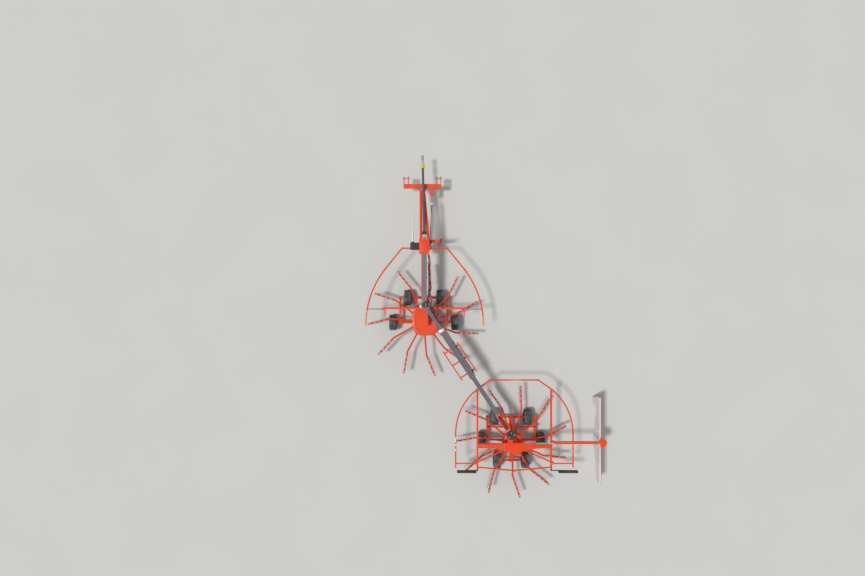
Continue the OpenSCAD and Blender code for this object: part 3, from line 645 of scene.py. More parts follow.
# Wheels
def model_tyre():
    """Implement tyre round the X axis: section outline, grooves drawn down, then spun."""
    top, bottom = TYRE_R - 0.004, RIM_R + 0.004
    middle = (bottom + top) / 2
    clear_selection()
    bpy.ops.mesh.primitive_plane_add(size=1, rotation=(math.pi / 2, 0, 0), location=(0, 0, middle))
    bpy.context.object.scale = (TYRE_W, top - bottom, 1)
    tyre = editing(started("tyre"))
    pick(tyre, lambda v: v.co.z > middle, "verts")
    bpy.ops.mesh.bevel(affect="VERTICES", offset=TYRE_SHOULDER, segments=5)
    pick(tyre, lambda v: v.co.z < middle and abs(v.co.x) > TYRE_W / 2 - 0.001, "verts")
    bpy.ops.mesh.bevel(affect="VERTICES", offset=0.022, segments=3)
    pick(tyre, lambda e: all(v.co.z > top - 0.0005 for v in e.verts), "edges")
    bpy.ops.mesh.subdivide(number_cuts=17)
    tread = TYRE_W - 2 * TYRE_SHOULDER
    grooves = [tread * (i / 18 - 0.5) for i in (3, 7, 11, 15)]
    pick(tyre, lambda v: v.co.z > top - 0.0005 and min(abs(v.co.x - g) for g in grooves) < 0.002, "verts")
    bpy.ops.transform.translate(value=(0, 0, -0.010))
    pick_all("faces")
    bpy.ops.mesh.delete(type="ONLY_FACE")
    pick_all("verts")
    bpy.ops.mesh.spin(steps=TREAD_STEPS, angle=2 * math.pi, center=(0, 0, 0), axis=(1, 0, 0))
    editing(closed_up(tyre))

    def shoulder_block(face):
        """Every second block along the tread's shoulders."""
        c = face.calc_center_median()
        step = int(round(math.degrees(math.atan2(c.y, c.z)) / (360 / TREAD_STEPS) + 0.5))
        return abs(c.x) > tread * 0.42 and math.hypot(c.y, c.z) > TYRE_R - 0.022 and step % 2 == 0

    pick(tyre, shoulder_block)
    bpy.ops.mesh.extrude_region_shrink_fatten(TRANSFORM_OT_shrink_fatten={"value": 0.004})
    return coloured(shaded(closed_up(tyre), 38), RUBBER)


def model_rim():
    """Dished disc wheel with its hub and five bolts on each side."""
    clear_selection()
    bpy.ops.mesh.primitive_cylinder_add(vertices=48, radius=RIM_R + 0.006, depth=0.150,
                                        rotation=(0, math.pi / 2, 0))
    rim = editing(started("rim"))
    for side in (1, -1):
        pick(rim, lambda f: f.normal.x * side > 0.9)
        for inset, depth in ((0.008, -0.045), (0.030, 0.014), (0.044, 0.018), (0.006, 0.008)):
            bpy.ops.mesh.inset(thickness=inset)
            drawn_out(side * depth, 0, 0)
    coloured(softened(closed_up(rim), 0.0018), RIM)
    places = [facing((side, 0, 0), (side * 0.044, 0.054 * math.cos(a), 0.054 * math.sin(a)))
              for side in (1, -1) for a in [math.radians(72 * i) for i in range(5)]]
    return joined("rim_with_bolts", [bolts("wheel_bolts", places, 0.016, 0.009), rim])


def fit_wheels():
    """Ten wheels, each on its own body, turned a little from one to the next."""
    wheel = joined("wheel", [model_rim(), model_tyre()])
    for label, axis, spots in (("front", FRONT_AXIS, FRONT_WHEELS), ("rear", REAR_AXIS, REAR_WHEELS)):
        for i, (x, y) in enumerate(spots, 1):
            place = Matrix.Translation(axis + Vector((x, y, TYRE_R))) @ Matrix.Rotation(0.6 * i, 4, "X")
            node = f"{label}_wheel_{i}"
            fitted(copied(wheel, f"{node}_tyre", place), node, "tyre_rubber", node)
    bpy.data.objects.remove(wheel)


# Tines and their clamps
def arm_turns(axis, phase):
    """Frame of each arm of a rotor: on its axis at the ground, X out along the arm."""
    return [Matrix.Translation(axis) @ Matrix.Rotation(math.radians(phase - i * 360 / ARM_COUNT), 4, "Z")
            for i in range(ARM_COUNT)]


def tine_places(axis, phase):
    """Frame of each tine's seat: on the arm's centre line, X out along the arm."""
    bend = Matrix.Translation((ARM_BEND_AT, 0, ARM_Z)) @ Matrix.Rotation(math.radians(ARM_BEND), 4, "Z")
    return [turn @ bend @ Matrix.Translation((x, 0, 0))
            for turn in arm_turns(axis, phase) for x in TINE_STEPS]


def model_tine():
    """Double spring tine: two coils side by side, a bridge under the holder, two bent legs."""
    wire, coil, pitch, drop, leg = 0.005, 0.0168, 0.0104, -0.0623, 0.042
    tip = 0.018 + wire - ARM_Z
    half = [(leg, -0.020, tip), (leg, 0.004, tip + 0.14), (leg, 0.012, drop - 0.12)]
    for k in range(25):
        turn = 2 * math.pi * k / 8
        half.append((leg - pitch * k / 8, coil * math.cos(turn), drop + coil * math.sin(turn)))
    points = half + [(-x, y, z) for x, y, z in reversed(half)]
    return tube_on("tine", points, wire, TINE_STEEL, 1)


def model_clamp():
    """Saddle over the arm tube that holds a tine, with its bolt and washer."""
    clear_selection()
    bpy.ops.mesh.primitive_cylinder_add(vertices=24, radius=ARM_TUBE + 0.004, depth=0.072,
                                        rotation=(0, math.pi / 2, 0))
    saddle = editing(started("saddle"))
    bpy.ops.mesh.select_all(action="SELECT")
    bpy.ops.mesh.bisect(plane_co=(0, 0, -0.010), plane_no=(0, 0, 1), use_fill=True, clear_inner=True)
    pick(saddle, lambda f: f.normal.z < -0.9)
    drawn_out(0, 0, -0.029)
    coloured(softened(closed_up(saddle), 0.0012), DEEP_ORANGE)
    # Washer and bolt head in pale zinc with a painted glint
    washer = turned("washer", [(0.017, 0), (0.017, 0.003)], GLINT_PALE_ZINC, 16)
    bolt = joined("clamp_bolt", [washer, hexagon_bolt(0.021, 0.012, GLINT_PALE_ZINC)],
                  Matrix.Translation((0, 0, ARM_TUBE + 0.0042)))
    return joined("clamp", [bolt, saddle])


def fit_tines():
    """All tines and clamps of each rotor, at every seat on its arms."""
    for label, axis, phase in ROTORS:
        places = tine_places(axis, phase)
        tines = spread(model_tine(), f"{label}_spring_tines", places)
        fitted(tines, f"{label}_rotor", "tine_steel", f"{label}_tines")
        clamps = spread(model_clamp(), f"{label}_tine_clamps", places)
        fitted(clamps, f"{label}_rotor", "zinc_steel")


# Curtain
def eased(table, place):
    """Value between two rows of a table, with no corner at the rows."""
    for (start, low), (end, high) in zip(table, table[1:]):
        if place <= end:
            share = max(0.0, (place - start) / (end - start))
            return low + (high - low) * share * share * (3 - 2 * share)
    return table[-1][1]


def fit_curtain():
    """Hanging canvas: pleats grow from the rail down to the wavy hem."""
    low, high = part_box("curtain")
    middle = (low + high) / 2
    length, drop = high.y - low.y, high.z - low.z
    clear_selection()
    bpy.ops.mesh.primitive_grid_add(x_subdivisions=24, y_subdivisions=150, size=1, location=middle,
                                    rotation=(0, math.pi / 2, 0))
    bpy.context.object.scale = (drop, length, 1)
    cloth = started("curtain_cloth")
    paint = cloth.data.uv_layers.new(name="cloth")
    for corner in cloth.data.loops:
        co = cloth.data.vertices[corner.vertex_index].co
        paint.data[corner.index].uv = (co.y - low.y, co.z - low.z)
    for vertex in cloth.data.vertices:
        run, share = vertex.co.y - low.y, (high.z - vertex.co.z) / drop
        swing = sum(depth * math.sin(run * rate + start) for depth, rate, start in PLEATS)
        vertex.co.x += swing * share ** 1.4 + eased(HEM_DRAW, run) * share ** 1.5
        vertex.co.y -= 0.120 * share ** 1.3
        vertex.co.z += 0.010 * math.sin(run * 7.3 + 1.2) * share ** 3 + 0.008 * share ** 4
    only(cloth)
    wall = cloth.modifiers.new("canvas_wall", "SOLIDIFY")
    wall.thickness = 0.0022
    wall.offset = 0
    bpy.ops.object.modifier_apply(modifier=wall.name)
    bpy.ops.object.shade_smooth()
    coloured(cloth, CANVAS)
    fitted(cloth, "rear_guard_right", "curtain_cloth", "curtain")
    fit_curtain_strip(middle.x, low.y, high.y, high.z)


def fit_curtain_strip(x, back, front, top):
    """White strip that clamps the canvas to its rail, with the fold above and a row of bolts."""
    face = x - 0.036
    strip = box("strip", (face, back + 0.010, top + 0.006), (x - 0.0222, front - 0.010, top + 0.046), WHITE)
    fold = box("fold", (x - 0.034, back + 0.004, top + 0.0442), (x + 0.006, front - 0.004, top + 0.0490),
               WHITE)
    heads = bolts("strip_bolts", [facing((-1, 0, 0), (face, back + 0.10 + 0.195 * i, top + 0.026))
                                  for i in range(13)], 0.016, 0.008)
    fitted(joined("curtain_clamp_strip", [heads, fold, strip]), "rear_guard_right", "white_plastic")


# Drive shaft, marker and steering cylinder
def fit_drive_shaft():
    """Guarded shaft: rear joint and cone, two guard tubes, yellow front cone, splined yoke."""
    back, front = at_front(0.027, 2.410, 1.040), at_front(-0.035, 4.880, 0.800)
    length = (front - back).length
    yoke = [(0.029, 0.034), (0.034, 0.038), (0.034, 0.080), (0.026, 0.086), (0.026, 0.150)]
    cone = [(0.050, 0.140), (0.061, 0.142), (0.061, 0.156), (0.056, 0.160), (0.059, 0.170), (0.053, 0.178),
            (0.056, 0.190), (0.049, 0.198), (0.052, 0.208), (0.044, 0.218), (0.044, 0.240)]
    outer = [(0.038, 0.225), (0.038, 0.300), (0.0405, 0.302), (0.0405, 0.330), (0.038, 0.332), (0.038, 1.310),
             (0.041, 1.312), (0.041, 1.350), (0.034, 1.352), (0.034, 2.130)]
    front_cone = [(0.036, 2.095), (0.046, 2.100), (0.054, 2.118), (0.054, 2.150), (0.049, 2.154),
                  (0.053, 2.164), (0.048, 2.172), (0.052, 2.186), (0.052, 2.212), (0.030, 2.214)]
    joint = [(0.024, 2.200), (0.024, 2.300), (0.029, 2.306), (0.029, 2.335), (0.024, 2.340), (0.030, 2.352),
             (0.040, 2.360), (0.040, 2.400), (0.036, 2.406), (0.040, 2.412), (0.040, length - 0.004),
             (0.037, length), (0.0175, length), (0.0175, 2.392)]
    parts = [turned("yoke", yoke, ZINC), turned("cone", cone, BLACK_PLASTIC),
             turned("outer", outer, SHAFT_GUARD), turned("front_cone", front_cone, YELLOW),
             turned("joint", joint, ZINC)]
    pin = [(0.010, -0.041), (0.013, -0.039), (0.013, 0.039), (0.010, 0.041)]
    for z, turn in ((2.320, 0), (2.346, 90), (0.060, 0), (0.095, 90)):
        across = Matrix.Rotation(math.radians(turn), 4, "Z") @ Matrix.Rotation(math.pi / 2, 4, "X")
        parts.append(turned("cross_pin", pin, ROD_STEEL, 16, Matrix.Translation((0, 0, z)) @ across))
    fitted(joined("drive_shaft", parts, facing(front - back, back)), "frame", "dark_guard", "pto_shaft")


def fit_marker():
    """Tapered white rod in its ribbed dark socket box."""
    socket = box("socket", (-0.384, 2.090, 1.015), (-0.129, 2.294, 1.146), BLACK_PLASTIC, 0.010, 3)
    lid = box("lid", (-0.372, 2.102, 1.140), (-0.141, 2.282, 1.150), BLACK_PLASTIC, 0.004)
    ribs = [box("rib", (x, 2.086, 1.030), (x + 0.008, 2.298, 1.135), BLACK_PLASTIC)
            for x in (-0.345, -0.300, -0.215, -0.170)]
    rod = turned("rod", [(0.030, 0), (0.037, 0.006), (0.037, 0.028), (0.033, 0.034), (0.029, 0.250),
                         (0.0255, 0.500), (0.021, 0.760), (0.016, 0.775), (0.008, 0.780)], WHITE, 28,
                 facing((0, 1, 0), (-0.308, 2.280, 1.085)))
    collar = turned("collar", [(0.044, 0), (0.048, 0.004), (0.048, 0.026), (0.044, 0.030)], BLACK_PLASTIC, 28,
                    facing((0, 1, 0), (-0.308, 2.290, 1.085)))
    marker = joined("marker_and_socket", [collar, rod, lid, socket] + ribs, FRONT_PLAN)
    fitted(marker, "frame", "white_plastic", "marker_rod")


def fit_steering():
    """Gland, end cap, ports and hoses on the steering cylinder, and the pin in its rear eye."""
    back, front = at_front(0.232, 2.250, 0.975), at_front(0.244, 3.750, LINK_Z)
    place = facing(front - back, back)
    gland = turned("gland", [(0.0335, 1.205), (0.040, 1.209), (0.040, 1.262), (0.034, 1.268), (0.017, 1.270)],
                   WHITE, 28)
    cap = turned("cap", [(0.019, 0.052), (0.0345, 0.056), (0.0345, 0.094), (0.0325, 0.098)], BEAM_GREY, 28)
    fitted(joined("steering_gland", [cap, gland], place), "frame", "zinc_steel")
    head = turned("pin_head", [(0.034, 1.0205), (0.036, 1.023), (0.036, 1.032), (0.032, 1.036),
                               (0.014, 1.036), (0.014, 1.052), (0.012, 1.055)], ZINC, 24,
                  Matrix.Translation((back.x, back.y, 0)))
    fitted(head, "frame", "zinc_steel")
    up = place.to_quaternion() @ Vector((0, 0, 1))
    for i, along in enumerate((0.110, 1.180)):
        port = back + up * along + Vector((0, 0, 0.030))
        route = [port, port + Vector((0, 0, 0.045)), port + Vector((-0.030, -0.10 - 0.4 * i, 0.060)),
                 at_front(0.150 + 0.03 * i, 2.420, 1.090), at_front(0.120 + 0.03 * i, 2.402, 1.070)]
        fitted(hose(f"steering_hose_{i + 1}", route, 0.009), "frame", "dark_guard")


# Rotor columns, covers and hubs
def pressed_cover(outline, low):
    """Pressed sheet cover: a stepped top and a lip turned down all round."""
    cover = editing(plate("cover", outline, low, low + 0.030))
    pick(cover, lambda f: f.normal.z > 0.9)
    stepped_in(0.045, 0.012)
    stepped_in(0.0405, 0.0042)
    stepped_in(0.012, -0.006)
    pick(cover, lambda f: f.normal.z < -0.9)
    bpy.ops.mesh.inset(thickness=0.006)
    drawn_out(0, 0, 0.024)
    return softened(coloured(closed_up(cover), ORANGE), 0.004, 3, 20)


def fit_column(label, axis, body, outline, low):
    """Fixed column, ribbed gear case with its bolted flange, input housing and cover."""
    column_steps = [(0.050, 0.280), (0.050, 0.440), (0.086, 0.440), (0.090, 0.446), (0.090, 0.4997),
                    (0.050, 0.4997), (0.050, 0.6403), (0.090, 0.6403), (0.090, 0.686), (0.146, 0.690),
                    (0.150, 0.694), (0.150, 0.712), (0.128, 0.718), (0.124, 0.790), (0.128, 0.852),
                    (0.150, 0.858), (0.150, 0.876), (0.146, 0.880)]
    snout_steps = [(0.062, 0.100), (0.062, 0.232), (0.054, 0.238), (0.054, 0.262), (0.062, 0.268),
                   (0.062, 0.288), (0.058, 0.290), (0.034, 0.290), (0.034, 0.280)]
    stub_steps = [(0.018, 0.278), (0.018, 0.286), (0.0175, 0.3300), (0.015, 0.333)]
    column = turned("column", column_steps, ORANGE, 48)
    rib = box("rib", (0.118, -0.006, 0.712), (0.149, 0.006, 0.860), ORANGE, 0.003)
    ribs = spread(rib, "ribs", ring_of(8, first=22.5))
    flange = bolts("flange_bolts", ring_of(8, 0.139, 0.716), 0.014, 0.009)
    ahead = facing((0, 1, 0), (0, 0, INPUT_Z))
    snout = turned("snout", snout_steps, ORANGE, 32, ahead)
    stub = turned("stub", stub_steps, ROD_STEEL, 12, ahead)
    cover = pressed_cover(outline, low)
    rim = bolts("rim_bolts", [Matrix.Translation((0.80 * x, 0.80 * y, low + 0.046)) for x, y in outline[::2]],
                0.015, 0.008)
    parts = [flange, rim, stub, snout, ribs, cover, column]
    whole = joined(f"{label}_gear_column", parts, Matrix.Translation(axis))
    fitted(whole, body, "orange_paint", f"{label}_gearcase")


def fit_hubs():
    """Arm sockets, cam ring and bolt circle on each turning hub."""
    tube_end = [(0.033, 0.285), (0.036, 0.290), (0.036, 0.305), (0.031, 0.309), (0.031, 0.420),
                (0.035, 0.424), (0.035, 0.442), (0.0265, 0.446)]
    cam = [(0.288, 0.6395), (0.292, 0.642), (0.292, 0.650), (0.280, 0.653), (0.200, 0.653), (0.196, 0.645)]
    for label, axis, phase in ROTORS:
        turns = arm_turns(axis, phase)
        socket = turned("socket", tube_end, DEEP_ORANGE, 24, facing((1, 0, 0), (0, 0, ARM_Z)))
        ear = box("ear", (0.330, -0.008, ARM_Z + 0.024), (0.395, 0.008, ARM_Z + 0.050), DEEP_ORANGE, 0.004)
        sockets = spread(joined("socket", [socket, ear]), f"{label}_arm_sockets", turns)
        fitted(sockets, f"{label}_rotor", "orange_paint")
        ring = turned("cam_ring", cam, DEEP_ORANGE, 64, Matrix.Translation(axis))
        fitted(ring, f"{label}_rotor", "orange_paint")
        spots = [t @ Matrix.Rotation(math.radians(d), 4, "Z") @ Matrix.Translation((0.262, 0, 0.653))
                 for t in turns for d in (-8, 8)]
        spots += [t @ Matrix.Translation((x, 0, ARM_Z + 0.031)) for t in turns for x in (0.300, 0.432)]
        fitted(bolts(f"{label}_hub_bolts", spots, 0.015, 0.009), f"{label}_rotor", "zinc_steel")


# Main beam and the hoses at the front pivot
def fit_beam_pipe():
    """Painted pipe along the main beam's left edge, in four clips."""
    pipe = tube_on("pipe", [at_front(-0.049, y, 1.166) for y in (0.640, 1.300, 1.978)], 0.013, ORANGE)
    clips = [box("clip", at_front(-0.064, y, 1.150), at_front(-0.030, y + 0.030, 1.184), ORANGE, 0.004)
             for y in (0.70, 1.10, 1.50, 1.90)]
    fitted(joined("beam_pipe", clips + [pipe]), "frame", "orange_paint")


def fit_hose_rings():
    """Zinc rings that hold the hoses along the main beam's right side."""
    rings = []
    for y in (0.86, 1.28, 1.70):
        loop = [at_front(0.165 + 0.062 * math.cos(a), y, 1.075 + 0.050 * math.sin(a))
                for a in [math.radians(15 * i) for i in range(25)]]
        rings.append(tube_on("ring", loop, 0.006, ZINC))
        rings.append(box("foot", at_front(0.093, y - 0.018, 1.055), at_front(0.106, y + 0.018, 1.100), ZINC))
    fitted(joined("hose_rings", rings), "frame", "zinc_steel")


def fit_frame_hoses():
    """Three hoses along the main beam, and four between the pivot and the front column."""
    for label, routes in (("beam_hose", BEAM_HOSES), ("column_hose", COLUMN_HOSES)):
        for i, route in enumerate(routes, 1):
            fitted(hose(f"{label}_{i}", [at_front(*p) for p in route], 0.012), "frame", "dark_guard")


def fit_front_pivot():
    """Black cap with six studs over the swing beam's pivot, and the valve block beside it."""
    cap = turned("cap", [(0.072, 1.3023), (0.076, 1.305), (0.076, 1.314), (0.066, 1.320), (0.030, 1.322),
                         (0.030, 1.336), (0.026, 1.340)], BLACK_PLASTIC, 40)
    studs = bolts("studs", ring_of(6, 0.058, 1.317), 0.014, 0.008)
    over_pivot = Matrix.Translation(at_front(FRONT_MIDDLE, PIVOT_Y, 0))
    fitted(joined("front_pivot_cap", [studs, cap], over_pivot), "frame", "black_plastic")
    block = box("block", (-0.105, 0.400, 0.960), (-0.035, 0.500, 1.025), ZINC, 0.005)
    port = turned("port", [(0.012, 0), (0.014, 0.003), (0.014, 0.020), (0.010, 0.024)], WHITE, 12)
    ports = spread(port, "ports", grid_of((-0.090, -0.052), (0.425, 0.475), 1.024))
    fitted(joined("valve_block", [ports, block], FRONT_PLAN), "frame", "zinc_steel")


# Telescopic swing beam
def fit_beam_trim():
    """Neck wedges, wear pads and bolts on the swinging beam."""
    wedges = []
    for side in (1, -1):
        outline = [(0.640, side * 0.049), (0.900, side * 0.079), (0.900, side * 0.086), (0.640, side * 0.060)]
        wedges.append(coloured(plate("wedge", outline[::side], -0.070, 0.070, 0.002), DARK_BEAM))
    pads = [box("pad", (2.494, y, 0.052), (2.512, y + 0.040, 0.084), BLACK_PLASTIC, 0.003)
            for y in (-0.075, 0.035)]
    rim = bolts("rim_bolts", grid_of((2.455, 2.485), (-0.07, 0, 0.07), 0.090), 0.020, 0.010)
    neck = bolts("neck_bolts", grid_of((0.120, 0.200), (-0.03, 0.03), 0.080), 0.018, 0.010)
    fitted(joined("beam_trim", [rim, neck] + pads + wedges, BEAM_LINE), "swing_beam", "zinc_steel")


def fit_swing_hoses():
    """Two hoses along the beam's outer flank, in five clips."""
    for i, z in enumerate((-0.020, 0.008), 1):
        route = [(0.120, 0.050, 0.060), (0.240, 0.066, 0.030 + z), (0.560, 0.066, z), (0.700, 0.074, z),
                 (0.900, 0.098, z), (1.400, 0.098, z), (2.000, 0.098, z), (2.330, 0.098, z),
                 (2.420, 0.094, z)]
        fitted(hose(f"swing_hose_{i}", route, 0.011, BEAM_LINE), "swing_beam", "dark_guard")
    clip = box("clip", (0, 0.079, -0.038), (0.035, 0.113, 0.026), BLACK_PLASTIC, 0.005)
    places = [BEAM_LINE @ Matrix.Translation((x, 0, 0)) for x in (0.95, 1.35, 1.75, 2.15, 2.35)]
    fitted(spread(clip, "clips", places), "swing_beam", "black_plastic")


def fit_neck_saddle():
    """Bolted orange cheeks and a zinc saddle plate, where the beam widens behind its neck."""
    cheeks = []
    for side in (1, -1):
        low_y, high_y = sorted((side * 0.081, side * 0.097))
        cheeks.append(box("cheek", (0.830, low_y, -0.060), (1.010, high_y, 0.072), ORANGE, 0.004))
        spots = [facing((0, side, 0), (x, side * 0.097, z)) for x in (0.865, 0.975) for z in (-0.030, 0.042)]
        cheeks.append(bolts("cheek_bolts", spots, 0.022, 0.012))
    # Saddle plate in pale zinc with a painted glint
    saddle = box("saddle", (0.845, -0.074, 0.079), (0.935, 0.074, 0.089), GLINT_PALE_ZINC, 0.004)
    heads = bolts("saddle_bolts", grid_of((0.865, 0.915), (-0.05, 0.05), 0.089), 0.022, 0.012)
    fitted(joined("neck_saddle", [heads, saddle] + cheeks, BEAM_LINE), "swing_beam", "zinc_steel")


def fit_inner_beam():
    """Orange end casing on the sliding beam, with the hoses that run over it to the rear pivot."""
    walls = (((3.760, -0.066, 0.0625), (4.352, 0.066, 0.070)),
             ((3.760, -0.070, -0.058), (4.352, -0.0625, 0.070)),
             ((3.760, 0.0625, -0.058), (4.352, 0.070, 0.070)))
    casing = [box("casing", low, high, ORANGE, 0.004) for low, high in walls]
    heads = bolts("heads", grid_of((3.79, 4.32), (-0.05, 0.05), 0.071), 0.016)
    straps = [box("strap", (x, -0.046, 0.069), (x + 0.026, 0.046, 0.097), BLACK_PLASTIC, 0.005)
              for x in (3.900, 4.180)]
    fitted(joined("inner_beam_casing", [heads] + straps + casing, BEAM_LINE), "inner_beam", "orange_paint")
    for i, y in enumerate((-0.028, 0.0, 0.028), 1):
        route = [(3.785, y, 0.082), (3.900, y, 0.083), (4.040, y * 1.3, 0.084), (4.190, y, 0.083),
                 (4.330, y * 0.8, 0.084)]
        fitted(hose(f"end_hose_{i}", route, 0.011, BEAM_LINE), "inner_beam", "dark_guard")


# Rear cross beam
def fit_rear_pivot():
    """Dark swivel cap with its bright elbows over the rear pivot."""
    cap = turned("cap", [(0.1275, 1.2830), (0.1290, 1.286), (0.1290, 1.318), (0.122, 1.326), (0.080, 1.328),
                         (0.076, 1.322), (0.040, 1.322), (0.036, 1.334), (0.018, 1.336)], BLACK_PLASTIC, 48)
    studs = bolts("studs", ring_of(8, 0.101, 1.327), 0.016, 0.009)
    bend = smooth_path([(0.052, 0, 1.320), (0.052, 0, 1.336), (0.060, 0, 1.345), (0.096, 0, 1.345)], 4)
    elbows = [moved(tube_on("elbow", bend, 0.0085, ROD_STEEL), Matrix.Rotation(math.radians(turn), 4, "Z"))
              for turn in (20, 100, 215)]
    over_pivot = Matrix.Translation(at_rear(-0.120, 0.370, 0))
    fitted(joined("rear_pivot_cap", elbows + [studs, cap], over_pivot), "rear_unit", "black_plastic")


def fit_gusset():
    """Bolted gusset with its rear tab on top of the rear cross beam."""
    outline = [(-0.980, 0.050), (-0.620, 0.062), (-0.250, 0.096), (0.560, 0.096), (0.580, 0.058),
               (0.980, 0.050), (0.980, -0.045), (0.420, -0.092), (0.150, -0.182), (-0.080, -0.182),
               (-0.240, -0.100), (-0.620, -0.060), (-0.980, -0.050)]
    gusset = editing(plate("gusset", outline[::-1], 1.0605, 1.0680))
    pick(gusset, lambda f: f.normal.z > 0.9)
    stepped_in(0.014, 0.003)
    softened(coloured(closed_up(gusset), ORANGE), 0.002)
    tab_outline = [(-0.040, -0.262), (0.105, -0.262), (0.140, -0.150), (-0.070, -0.150)]
    tab = coloured(plate("tab", tab_outline, 1.035, 1.0610, 0.004), ORANGE)
    spots = ((-0.560, 0), (-0.300, 0.045), (-0.300, -0.045), (0.440, 0.045), (0.440, -0.045), (0.900, 0),
             (-0.900, 0), (0.030, -0.140))
    heads = bolts("gusset_bolts", [Matrix.Translation((x, y, 1.0705)) for x, y in spots], 0.024, 0.014)
    fitted(joined("cross_beam_gusset", [heads, tab, gusset], REAR_PLAN), "rear_unit", "orange_paint")


# Wheel carriers
def fit_wheel_carriers():
    """Rocker tubes from the front axle to the outer wheels, with their cross stays, posts and eyes."""
    post = [(0.034, 0.262), (0.034, 0.330), (0.027, 0.336), (0.027, 0.395), (0.030, 0.400), (0.030, 0.412),
            (0.010, 0.414)]
    stub = [(0.017, 0), (0.017, 0.150)]
    eye = [(0.040, -0.040), (0.043, -0.036), (0.043, 0.036), (0.040, 0.040), (0.024, 0.041), (0.022, 0.048)]
    for label, plan, body, front_y, outer_y in (("front", FRONT_PLAN, "frame", 0.690, -0.060),
                                                ("rear", REAR_PLAN, "rear_unit", 0.670, -0.020)):
        parts = []
        for side in (1, -1):
            x = side * CARRIER_X
            inner_x, outer_x = sorted((0.045 * side, x))
            out = (side, 0, 0)
            parts += [
                box("tube", (x - 0.030, outer_y - 0.045, 0.205), (x + 0.030, front_y + 0.045, 0.275), ORANGE,
                    0.010, 3),
                box("stay", (inner_x, 0.345, 0.215), (outer_x, 0.395, 0.265), ORANGE, 0.008, 3),
                turned("post", post, ORANGE, 24, Matrix.Translation((x, 0.370, 0))),
                turned("stub", stub, ZINC, 16, facing(out, (side * 0.545, front_y, TYRE_R))),
                turned("eye", eye, ORANGE, 28, facing(out, (x, front_y, TYRE_R))),
                turned("eye", eye, ORANGE, 28, facing(out, (x, outer_y, TYRE_R))),
            ]
        heads = bolts("carrier_bolts", grid_of((CARRIER_X, -CARRIER_X), (0.120, 0.560), 0.276), 0.022, 0.013)
        fitted(joined(f"{label}_wheel_carriers", [heads] + parts, plan), body, "orange_paint")


# Guard trim, hinge bolts and lamps
def band(path, material):
    """Reflective band round a guard tube."""
    return tube_on("band", path, BAND_R, material, 3)


def fit_front_guard_trim(side, word):
    """Bands on a front guard's curved side, and the zinc link on its cross tube."""
    body = f"front_guard_{word}"
    centre = at_front(FRONT_MIDDLE + side * (FRONT_GUARD_HALF - FRONT_GUARD_ARC), -0.100, GUARD_Z)
    bands = []
    for k in range(5 if side < 0 else 3):
        turns = [math.radians(0.6 + 1.9 * k + d) for d in (0, 0.55, 1.10)]
        path = [centre + FRONT_GUARD_ARC * Vector((side * math.cos(a), math.sin(a), 0)) for a in turns]
        bands.append(band(path, AMBER if k % 2 else YELLOW))
    fitted(joined(f"{body}_bands", bands), body, "white_plastic")
    steps = [(0.022, 1.262), (0.026, 1.266), (0.026, 1.300), (0.021, 1.304), (0.021, 1.372), (0.026, 1.376),
             (0.026, 1.400), (0.021, 1.404), (0.021, 1.500), (0.026, 1.504), (0.026, 1.540), (0.020, 1.544),
             (0.020, 1.620), (0.018, 1.622)]
    outwards = facing((side, 0, 0), at_front(FRONT_MIDDLE, 0.371, GUARD_Z))
    fitted(turned(f"{body}_link", steps, ZINC, 24, outwards), body, "zinc_steel")


def fit_rear_guard_bands(side, word):
    """Bands on the straight side tube of a rear guard."""
    body = f"rear_guard_{word}"
    spots = ((0.17, 0.075), (0.02, 0.030), (-0.12, 0.030)) if side < 0 else ((0.03, 0.040), (-0.16, 0.040))
    bands = [band([at_rear(side * REAR_GUARD_HALF, y - half, GUARD_Z),
                   at_rear(side * REAR_GUARD_HALF, y + half, GUARD_Z)], WHITE if side < 0 else AMBER)
             for y, half in spots]
    fitted(joined(f"{body}_bands", bands), body, "white_plastic")


def fit_guard_trim():
    """Trim of the four folding guards, and the band on the bar in front of the rear rotor."""
    for side, word in ((-1, "left"), (1, "right")):
        fit_front_guard_trim(side, word)
        fit_rear_guard_bands(side, word)
    path = [at_rear(-0.100, 1.908, GUARD_Z), at_rear(0.165, 1.908, GUARD_Z)]
    fitted(tube_on("front_bar_band", path, BAND_R, AMBER, 3), "rear_unit", "white_plastic")


def fit_lamps():
    """Ribbed backs, and red and amber lenses facing rearwards, on the lamp boards."""
    for x, word in ((-1.385, "left"), (1.570, "right")):
        side = 1 if x > 0 else -1
        parts = [box("shade", (x - 0.265, -0.792, 1.022), (x + 0.265, -0.740, 1.036), BLACK_PLASTIC, 0.004)]
        for i in range(8):
            at = x - 0.240 + i * 0.0686
            rib = box("rib", (at - 0.003, -0.738, 0.926), (at + 0.003, -0.731, 1.024), BLACK_PLASTIC, 0.001)
            parts.append(rib)
        for middle, half, finish in ((x + side * 0.200, 0.052, RED_LENS), (x + side * 0.110, 0.030, AMBER),
                                     (x - side * 0.180, 0.036, RED_LENS)):
            left, right = middle - half, middle + half
            lens = box("lens", (left, -0.7985, 0.936), (right, -0.786, 1.010), finish, 0.005, 3)
            rim = box("rim", (left - 0.007, -0.794, 0.929), (right + 0.007, -0.785, 1.017), BLACK_PLASTIC, 0.003)
            parts += [lens, rim]
        fitted(joined(f"lamps_{word}", parts, REAR_PLAN), "rear_unit", "black_plastic")


